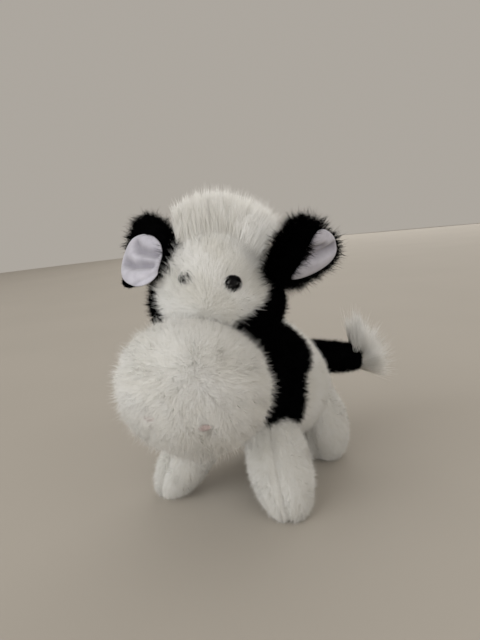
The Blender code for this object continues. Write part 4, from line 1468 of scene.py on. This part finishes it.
# Ears
@dataclass
class Ear:
    """One ear: a cupped plush back with a smooth creased lining.

    The lining's outline and creases are places on the ear's own front, across it and along it.
    """

    head: Head
    side: Side
    rider: Rider
    polar: float
    turn: float
    rise: float
    sweep: float
    twist: float
    outline: tuple[Flat, ...]
    centre: Flat
    creases: tuple[tuple[Flat, ...], ...]
    lay: Flat
    short_way: Flat
    settle: Triple
    depth: float
    pile: Pile
    length: float = 0.032
    width: float = 0.036
    thickness: float = 0.0085
    cup: float = 0.0045
    root_diameter: float = 0.011
    sink: float = 0.0020
    lining_thickness: float = 0.0040
    crease_depth: float = 0.0030
    crease_width: float = 0.0022

    @property
    def axes(self) -> Matrix:
        """The ear's frame: origin in its root, Y along its length and Z out of its lining."""
        root = surface_frame(self.head.place, self.polar, self.side.value * self.turn)
        centre = root @ Vector((0.0, 0.0, self.root_diameter / 2.0 - self.sink))
        rise, sweep, twist = (math.radians(angle) for angle in (self.rise, self.sweep, self.twist))
        side = self.side.value
        length = Vector((side * math.cos(rise) * math.cos(sweep), -math.cos(rise) * math.sin(sweep),
                         math.sin(rise)))
        facing = Vector((0.0, -1.0, 0.0))
        facing = (facing - length * facing.dot(length)).normalized()
        facing = Matrix.Rotation(side * twist, 3, length) @ facing
        axes = Matrix((length.cross(facing), length, facing)).transposed()
        settled = centre + Vector(self.settle)
        return Matrix.Translation(settled) @ (self.head.pose.to_3x3() @ axes).to_4x4()

    def leaf(self, polar: float) -> float:
        """Half the ear's width at an angle from its root to its tip."""
        along = (1.0 - math.cos(polar)) / 2.0
        return self.width / 2.0 * math.sin(polar) ** 0.75 * (0.78 + 0.44 * along)

    def back_form(self) -> bmesh.types.BMesh:
        """The whole closed plush back."""
        at = self.axes

        def place(polar: float, turn: float) -> Vector:
            """A point of the back."""
            x = self.leaf(polar) * math.cos(turn)
            out = self.thickness / 2.0 * math.sin(turn) * math.sin(polar) ** 0.6
            return at @ Vector((x, self.length * (1.0 - math.cos(polar)) / 2.0,
                                self.cup * (2.0 * x / self.width) ** 2 + out))
        return swollen_form(place, around=64, rings=40)

    def front(self, x: float, y: float) -> float:
        """How far the ear's front stands out at a place on it.

        Args:
            x: The place across the ear.
            y: The place along it.

        Returns:
            The height in the ear's own frame.
        """
        polar = math.acos(max(-1.0, min(1.0, 1.0 - 2.0 * y / self.length)))
        share = min(1.0, abs(x) / max(self.leaf(polar), 0.0001))
        bulge = (self.thickness / 2.0 - self.depth) * math.sqrt(1.0 - share ** 2)
        return self.cup * (2.0 * x / self.width) ** 2 + bulge * math.sin(polar) ** 0.6

    def crease(self, x: float, y: float) -> float:
        """How deep the lining is drawn in at a place on it.

        Args:
            x: The place across the ear.
            y: The place along it.

        Returns:
            The depth.
        """
        deepest = 0.0
        for line in self.creases:
            for (x0, y0), (x1, y1) in zip(line, line[1:]):
                run = (x1 - x0) ** 2 + (y1 - y0) ** 2
                share = max(0.0, min(1.0, ((x - x0) * (x1 - x0) + (y - y0) * (y1 - y0)) / run))
                gap = math.hypot(x - x0 - share * (x1 - x0), y - y0 - share * (y1 - y0))
                deepest = max(deepest, math.exp(-(gap / self.crease_width) ** 2))
        return self.crease_depth * deepest

    def lining_form(self) -> bmesh.types.BMesh:
        """The lining: a thin pad laid over the ear's front, with its creases."""
        at = self.axes
        middle_x, middle_y = self.centre
        rim = smooth_outline(self.outline)
        turns = np.array([math.atan2(y - middle_y, x - middle_x) for x, y in rim])
        reach = np.array([math.hypot(y - middle_y, x - middle_x) for x, y in rim])
        order = np.argsort(turns)

        def place(polar: float, turn: float) -> Vector:
            """A point of the lining."""
            out = float(np.interp(turn, turns[order], reach[order], period=math.tau))
            out *= math.sin(polar) ** 0.8
            x, y = middle_x + out * math.cos(turn), middle_y + out * math.sin(turn)
            front = (1.0 + math.cos(polar)) / 2.0
            lift = 0.0003 + self.lining_thickness * front
            return at @ Vector((x, y, self.front(x, y) + lift - self.crease(x, y) * front))
        return swollen_form(place, around=120, rings=80)

    def build(self) -> None:
        """Make the back with its pile, and the lining."""
        back = drawn_in(mesh_of(self.back_form(), "ear_form"), self.depth)
        roots = roots_on(back, self.pile.per_square_mm, Draw.EAR_ROOTS)
        axes = np.array(self.axes)
        across, along, facing = axes[:3, 0], axes[:3, 1], axes[:3, 2]
        own = roots.places - axes[:3, 3]
        covered = flat_inside(smooth_outline(self.outline), own @ across, own @ along)
        roots = roots.only(~(covered & (roots.out @ facing > 0.0)))
        lay = self.lay[0] * across + self.lay[1] * along

        def comb(places: np.ndarray, out: np.ndarray) -> np.ndarray:
            """Comb the back out to its rim, and the front its own way."""
            from_root = places - axes[:3, 3]
            rim = unit_rows(from_root - np.outer(from_root @ along, along)) + 0.9 * along
            ahead = np.clip(out @ facing, 0.0, 1.0)[:, None]
            return rim * (1.0 - ahead) + lay * ahead

        def trim(places: np.ndarray) -> np.ndarray:
            """Shorten the pile towards one side of the ear."""
            own = places - axes[:3, 3]
            reach = self.short_way[0] * (own @ across)
            reach = reach + self.short_way[1] * (own @ along - self.length / 2.0)
            return 1.0 - 0.75 * np.clip(reach / 0.013, 0.0, 1.0)

        name = "ear_back_" + self.side.word
        blades = grow(self.pile, roots, comb, Draw.EAR_PILE, trim)
        finished(name, plush_mesh(name, back, blades), BLACK_PLUSH, self.rider, 0.4)
        name = "ear_lining_" + self.side.word
        lining = bare_mesh(self.lining_form(), name)
        # painted shade: each point's share of the darkening painted into the lining's creases
        own = corners(lining)[0] - np.array(STAND) - axes[:3, 3]
        crease_shade_shares = [self.crease(x, y) / self.crease_depth for x, y in zip(own @ across, own @ along)]
        lining.attributes.new("fold", "FLOAT", "POINT").data.foreach_set("value", crease_shade_shares)
        finished(name, lining, EAR_KNIT, self.rider, 0.2)


def ears(head: Head) -> list[Ear]:
    """The two ears as they sit: the left one up and half folded, the right one out and open."""
    left = Ear(
        head, Side.LEFT, Rider.EAR_LEFT, polar=75.0, turn=65.0, rise=66.0, sweep=12.0, twist=52.0,
        outline=((0.0020, 0.0310), (0.0080, 0.0305), (0.0125, 0.0280), (0.0146, 0.0240), (0.0138, 0.0185),
                 (0.0098, 0.0125), (0.0050, 0.0085), (-0.0004, 0.0062), (-0.0018, 0.0090), (-0.0012, 0.0150),
                 (-0.0010, 0.0195), (-0.0026, 0.0245), (-0.0020, 0.0290)),
        centre=(0.0055, 0.0195),
        creases=(((-0.0030, 0.0165), (0.0040, 0.0205), (0.0110, 0.0262)),
                 ((-0.0010, 0.0205), (0.0050, 0.0240))),
        lay=(0.8, 0.6), short_way=(0.0, 0.0), settle=(0.0, 0.0, 0.0), depth=0.0010,
        pile=Pile(length=0.0043, lean=44.0, per_square_mm=9.0, width=0.00018, ruffle=0.40, stray=0.26,
                  tuft_pull=0.50, tuft_size=0.0013, wild=0.20, wild_reach=1.60))
    right = Ear(
        head, Side.RIGHT, Rider.EAR_RIGHT, polar=57.0, turn=49.0, rise=-10.0, sweep=-31.0, twist=-28.0,
        outline=((-0.0064, 0.0296), (0.0012, 0.0296), (0.0062, 0.0256), (0.0078, 0.0180), (0.0064, 0.0104),
                 (0.0024, 0.0050), (-0.0035, 0.0030), (-0.0095, 0.0033), (-0.0148, 0.0046), (-0.0174, 0.0090),
                 (-0.0172, 0.0155), (-0.0136, 0.0234)),
        centre=(-0.0045, 0.0160),
        creases=(((0.0035, 0.0215), (-0.0005, 0.0165), (-0.0025, 0.0060)),
                 ((-0.0055, 0.0260), (-0.0082, 0.0175), (-0.0075, 0.0070))),
        lay=(0.0, 1.0), short_way=(-0.95, 0.30), settle=(0.0020, 0.0015, -0.0010), depth=0.0012,
        pile=Pile(length=0.0042, lean=40.0, per_square_mm=9.0, width=0.00018, ruffle=0.40, stray=0.26,
                  tuft_pull=0.50, tuft_size=0.0013, wild=0.20, wild_reach=1.60))
    return [left, right]


# Long pile
@dataclass
class Forelock:
    """The fan of long pile that stands on the crown."""

    head: Head
    half_width: float = 0.0175
    half_depth: float = 0.0052
    forward: float = 0.0072
    fan: float = 29.0
    count: int = 16000
    length: float = 0.0163

    def build(self) -> None:
        """Grow the forelock from its strip of backing."""
        rng = np.random.default_rng(Draw.FORELOCK_ROOTS)
        pose = self.head.pose
        across = rng.uniform(-1.0, 1.0, self.count)
        deep = rng.uniform(-1.0, 1.0, self.count)
        own = np.stack([across * self.half_width, self.head.y - self.forward + deep * self.half_depth,
                        np.zeros(self.count)], axis=1)
        wide = (own[:, 0] / (self.head.width / 2.0)) ** 2
        wide = wide + ((own[:, 1] - self.head.y) / (self.head.depth / 2.0)) ** 2
        own[:, 2] = self.head.z + self.head.height / 2.0 * np.sqrt(1.0 - np.clip(wide, 0.0, 0.9)) - 0.0008
        angle = np.radians(self.fan) * np.where(across < 0.0, 0.85 * across, across + 0.35 * across ** 2)
        angle += np.radians(4.0) * rng.normal(size=self.count)
        pitch = np.radians(22.0) * deep * (1.0 + 0.4 * (deep > 0.0))
        pitch = pitch + np.radians(6.0) * rng.normal(size=self.count)
        way = np.stack([np.sin(angle), np.sin(pitch) * np.cos(angle), np.cos(angle)], axis=1)
        axes = np.array(pose)
        places = placed(own, axes)
        out = unit_rows(way @ axes[:3, :3].T)
        pile = Pile(length=self.length, lean=7.0, width=0.00025, unevenness=0.26, ruffle=0.6,
                    ruffle_size=0.007, stray=0.10, tuft_size=0.0019, tuft_pull=0.52, bends=4,
                    wild=0.10, wild_reach=1.15, splay=40.0, per_square_mm=20.0)

        def trim(at: np.ndarray) -> np.ndarray:
            """Shorten the pile in front and at both ends."""
            short = 0.45 * np.clip(-deep - 0.2, 0.0, 1.0) / 0.8
            return (1.0 - np.where(across < 0.0, 0.14, 0.16) * np.abs(across) ** 3) * (1.0 - short)

        looks = unit_rows(0.35 * out - 0.7 * axes[:3, 1])
        blades = grow(pile, Roots(places, out), laid_along(UP), Draw.FORELOCK_PILE, trim, looks=looks)

        def backing(polar: float, turn: float) -> Vector:
            """A point of the strip."""
            x = self.half_width * math.sin(polar) * math.cos(turn)
            y = self.half_depth * math.sin(polar) * math.sin(turn) - self.forward
            drop = 1.0 - (x / (self.head.width / 2.0)) ** 2 - (y / (self.head.depth / 2.0)) ** 2
            z = self.head.z + self.head.height / 2.0 * math.sqrt(drop) - 0.0010 + 0.0008 * math.cos(polar)
            return pose @ Vector((x, self.head.y + y, z))
        strip = mesh_of(swollen_form(backing, around=32, rings=12), "forelock_strip")
        finished("forelock", plush_mesh("forelock", strip, blades), LONG_PILE, Rider.HEAD, 0.3)


@dataclass
class Tail:
    """The tail: a short black tube with a brush of long pile at its end."""

    trunk: Trunk
    diameter: float = 0.0195
    length: float = 0.0355
    sink: float = 0.0020
    polar: float = 174.0
    bend: float = 52.0
    droop: float = 6.0
    tuft_length: float = 0.0150
    tuft_count: int = 9000
    tuft_flare: float = 52.0
    skin_depth: float = 0.0008
    pile: Pile = Pile(length=0.0034, lean=44.0, per_square_mm=9.0, width=0.00018, ruffle=0.4,
                      tuft_pull=0.40, stray=0.30, wild=0.2)

    def axes(self) -> Matrix:
        """The tail's frame: origin in its root and Z along it."""
        root = surface_frame(self.trunk.place, self.polar, 0.0)
        centre = root @ Vector((0.0, 0.0, self.diameter / 2.0 - self.sink))
        bend, rise = math.radians(self.bend), math.radians(-self.droop)
        along = Vector((math.sin(bend) * math.cos(rise), math.cos(bend) * math.cos(rise), math.sin(rise)))
        across = UP.cross(along).normalized()
        turn = Matrix((across, along.cross(across), along)).transposed().to_4x4()
        return Matrix.Translation(centre) @ turn

    def form(self) -> bmesh.types.BMesh:
        """The closed tube: half a ball at the root and a blunt end."""
        at = self.axes()
        radius = self.diameter / 2.0

        def place(polar: float, turn: float) -> Vector:
            """A point of the tube."""
            if polar <= math.pi / 2.0:
                out, along = radius * math.sin(polar), -radius * math.cos(polar)
            else:
                end = polar - math.pi / 2.0
                out, along = radius * math.cos(end) ** 0.35, self.length * math.sin(end)
            return at @ Vector((out * math.cos(turn), out * math.sin(turn), along))
        return swollen_form(place, around=48, rings=40)

    def build(self) -> None:
        """Make the tube with its pile, and the brush."""
        form = drawn_in(mesh_of(self.form(), "tail_form"), self.skin_depth)
        roots = roots_on(form, self.pile.per_square_mm, Draw.TAIL_ROOTS)
        along = np.array(self.axes().to_3x3() @ UP)
        blades = grow(self.pile, roots, laid_along(along), Draw.TAIL_PILE)
        finished("tail_skin", plush_mesh("tail_skin", form, blades), BLACK_PLUSH, Rider.TAIL, 0.8)
        self.make_tuft()

    def make_tuft(self) -> None:
        """Grow the brush from the tail's end."""
        rng = np.random.default_rng(Draw.TUFT_ROOTS)
        count = self.tuft_count
        spread = np.sqrt(rng.uniform(size=count))
        turn = rng.uniform(0.0, math.tau, count)
        radius = self.diameter / 2.0 * 0.82
        flat = np.stack([spread * np.cos(turn), spread * np.sin(turn)], axis=1)
        own = np.hstack([flat * radius, np.full((count, 1), self.length - 0.0008)])
        collar = (flat[:, 1] > 0.35) & (rng.uniform(size=count) < 0.35)
        up = np.stack([0.7 * np.cos(turn), np.sin(turn)], axis=1)
        own[collar, :2] = unit_rows(up[collar]) * self.diameter / 2.0 * 0.97
        own[collar, 2] -= 0.0065 * rng.uniform(size=int(collar.sum())) ** 1.5
        flare = np.radians(self.tuft_flare)
        way = np.hstack([flat * math.sin(flare), np.full((count, 1), math.cos(flare))])
        way[:, 1] += 0.60
        way[:, 2] -= 0.9 * np.clip(flat[:, 1] + 0.1, 0.0, 1.0)
        way[collar, 2] -= 0.15
        axes = np.array(self.axes())
        places = placed(own, axes)
        out = unit_rows(way @ axes[:3, :3].T)
        pile = Pile(length=self.tuft_length, lean=8.0, width=0.00020, unevenness=0.40, ruffle=0.8,
                    ruffle_size=0.006, stray=0.12, tuft_size=0.0012, tuft_pull=0.5, bends=4,
                    splay=80.0, per_square_mm=28.0)
        sideways = np.hstack([flat, np.zeros((count, 1))]) @ axes[:3, :3].T
        looks = unit_rows(0.5 * out + 0.7 * sideways)
        blades = grow(pile, Roots(places, out), laid_along(UP), Draw.TUFT_PILE, looks=looks)
        at = self.axes()

        def backing(polar: float, around: float) -> Vector:
            """A point of the disc that closes the tube's end."""
            out_to = radius * math.sin(polar)
            return at @ Vector((out_to * math.cos(around), out_to * math.sin(around),
                                self.length - 0.0006 + 0.0012 * math.cos(polar)))
        disc = mesh_of(swollen_form(backing, around=28, rings=10), "tuft_disc")
        finished("tail_tuft", plush_mesh("tail_tuft", disc, blades), LONG_PILE, Rider.TAIL, 0.3)


# Held inside
@dataclass
class Inside:
    """The fibre filling and the washers that the skins hold."""

    fillings: dict[str, Rider] = field(default_factory=lambda: {
        "body_stuffing": Rider.TRUNK, "head_stuffing": Rider.HEAD, "muzzle_stuffing": Rider.HEAD,
        "tail_stuffing": Rider.TAIL, "leg_front_left_stuffing": Rider.TRUNK,
        "leg_front_right_stuffing": Rider.TRUNK, "leg_rear_left_stuffing": Rider.TRUNK,
        "leg_rear_right_stuffing": Rider.TRUNK,
    })

    def build(self) -> None:
        """Make each filling as a soft lump of fibre, and dress the washers."""
        for name, rider in self.fillings.items():
            bm = bmesh.new()
            bm.from_mesh(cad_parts[name].data)
            bmesh.ops.remove_doubles(bm, verts=bm.verts, dist=MERGE_GAP)
            for face in bm.faces:
                face.smooth = True
            finished(name, mesh_of(bm, name + "_lump"), FILLING, rider, 0.9)
        for side in Side:
            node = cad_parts["eye_washer_" + side.word]
            node.material_slots[0].material = WASHER_WHITE.material()


# Studio
def swung(first: Vector, second: Vector, angle: float) -> tuple[Vector, Vector]:
    """Two square ways swung together, the first towards the second."""
    cos, sin = math.cos(angle), math.sin(angle)
    return first * cos + second * sin, second * cos - first * sin


@dataclass
class Studio:
    """A plain pale floor, soft light and the camera at the photograph's angle."""

    azimuth: float = 37.4
    elevation: float = 14.5
    distance: float = 0.2717
    yaw: float = -1.5
    pitch: float = 3.1
    roll: float = -5.6
    lens: float = 36.075
    target: Vector = field(default_factory=lambda: Vector((0.0, 0.0, 0.080)) + STAND)

    def axes(self) -> tuple[Vector, Vector, Vector]:
        """The unturned view's right, up and back ways."""
        turn, rise = math.radians(self.azimuth), math.radians(self.elevation)
        back = Vector((math.sin(turn) * math.cos(rise), -math.cos(turn) * math.cos(rise), math.sin(rise)))
        right = (-back).cross(UP).normalized()
        return right, right.cross(-back), back

    def add_camera(self) -> None:
        """Put the camera where the photograph was taken from."""
        right, up, back = self.axes()
        look = -back
        yaw, pitch, roll = (math.radians(angle) for angle in (self.yaw, self.pitch, self.roll))
        look, right = swung(look, right, yaw)
        look, up = swung(look, up, pitch)
        right, up = swung(right, up, roll)
        data = bpy.data.cameras.new("camera")
        data.sensor_fit = "HORIZONTAL"
        data.sensor_width = 36.0
        data.lens = self.lens
        data.clip_start = 0.01
        camera = bpy.data.objects.new("camera", data)
        turn = Matrix((right, up, -look)).transposed().to_4x4()
        camera.matrix_world = Matrix.Translation(self.target + back * self.distance) @ turn
        bpy.context.scene.collection.objects.link(camera)
        bpy.context.scene.camera = camera

    def add_light(self, name: str, place: Vector, size: float, power: float, colour: Triple) -> None:
        """Hang one soft panel of light aimed at the toy.

        Args:
            name: The light's name.
            place: Where it hangs from the toy's middle.
            size: The panel's side.
            power: Its power in watts.
            colour: Its colour.
        """
        data = bpy.data.lights.new(name, "AREA")
        data.size = size
        data.energy = power
        data.color = colour
        light = bpy.data.objects.new(name, data)
        light.location = self.target + place
        light.rotation_euler = (-place).to_track_quat("-Z", "Y").to_euler()
        bpy.context.scene.collection.objects.link(light)

    def add_floor(self) -> None:
        """Lay the plain pale floor."""
        bm = bmesh.new()
        bmesh.ops.create_circle(bm, cap_ends=True, segments=96, radius=3.0)
        mesh = mesh_of(bm, "floor")
        mesh.materials.append(PALE_FLOOR.material())
        floor = bpy.data.objects.new("floor", mesh)
        bpy.context.scene.collection.objects.link(floor)

    def build(self) -> None:
        """Set up the floor, the light and the camera."""
        self.add_floor()
        world = bpy.data.worlds.new("studio")
        world.use_nodes = True
        sky = world.node_tree.nodes["Background"]
        sky.inputs["Color"].default_value = (0.415, 0.385, 0.345, 1.0)
        sky.inputs["Strength"].default_value = 1.0
        bpy.context.scene.world = world
        bpy.context.scene.view_settings.view_transform = "Standard"
        right, _, back = self.axes()
        self.add_light("key", -2.25 * right + 1.80 * back + 0.84 * UP, 2.7, 58.0, (0.97, 0.99, 1.0))
        self.add_light("fill", 1.20 * right + 2.85 * back + 0.30 * UP, 3.6, 54.0, (1.0, 0.985, 0.96))
        self.add_light("over", 0.30 * right + 3.0 * UP, 3.6, 12.0, (1.0, 0.99, 0.97))
        self.add_light("rear", 0.9 * right - 2.4 * back + 1.6 * UP, 3.0, 26.0, (1.0, 0.99, 0.97))
        self.add_camera()


def legs() -> list[Leg]:
    """The four legs, each set down as it stands."""
    return [
        Leg("leg_front_left", Side.LEFT, (0.0335, -0.0280), (0.0180, -0.0180), 30.0),
        Leg("leg_front_right", Side.RIGHT, (-0.0385, -0.0430), (-0.0190, -0.0200), 4.0),
        Leg("leg_rear_left", Side.LEFT, (0.0200, 0.0365), (0.0180, 0.0280), 10.0),
        Leg("leg_rear_right", Side.RIGHT, (-0.0200, 0.0365), (-0.0180, 0.0280), 10.0),
    ]


def main() -> None:
    """Build the toy piece by piece, then light it."""
    logging.basicConfig(level=logging.INFO, format="%(message)s")
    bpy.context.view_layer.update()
    trunk, head = Trunk(), Head()
    muzzle = Muzzle(head)
    near = Neighbours()
    shapes = {"trunk": trunk.form(), "neck": trunk.neck_form(), "head": head.form(), "muzzle": muzzle.form()}
    shapes.update({leg.name: leg.form() for leg in legs()})
    for name, bm in shapes.items():
        near.add(name, bm)
    trunk.build(near)
    for leg in legs():
        leg.build(near)
    head.build(near)
    muzzle.build(near)
    for ear in ears(head):
        ear.build()
    Forelock(head).build()
    Tail(trunk).build()
    Inside().build()
    Studio().build()


if __name__ == "__main__":
    main()
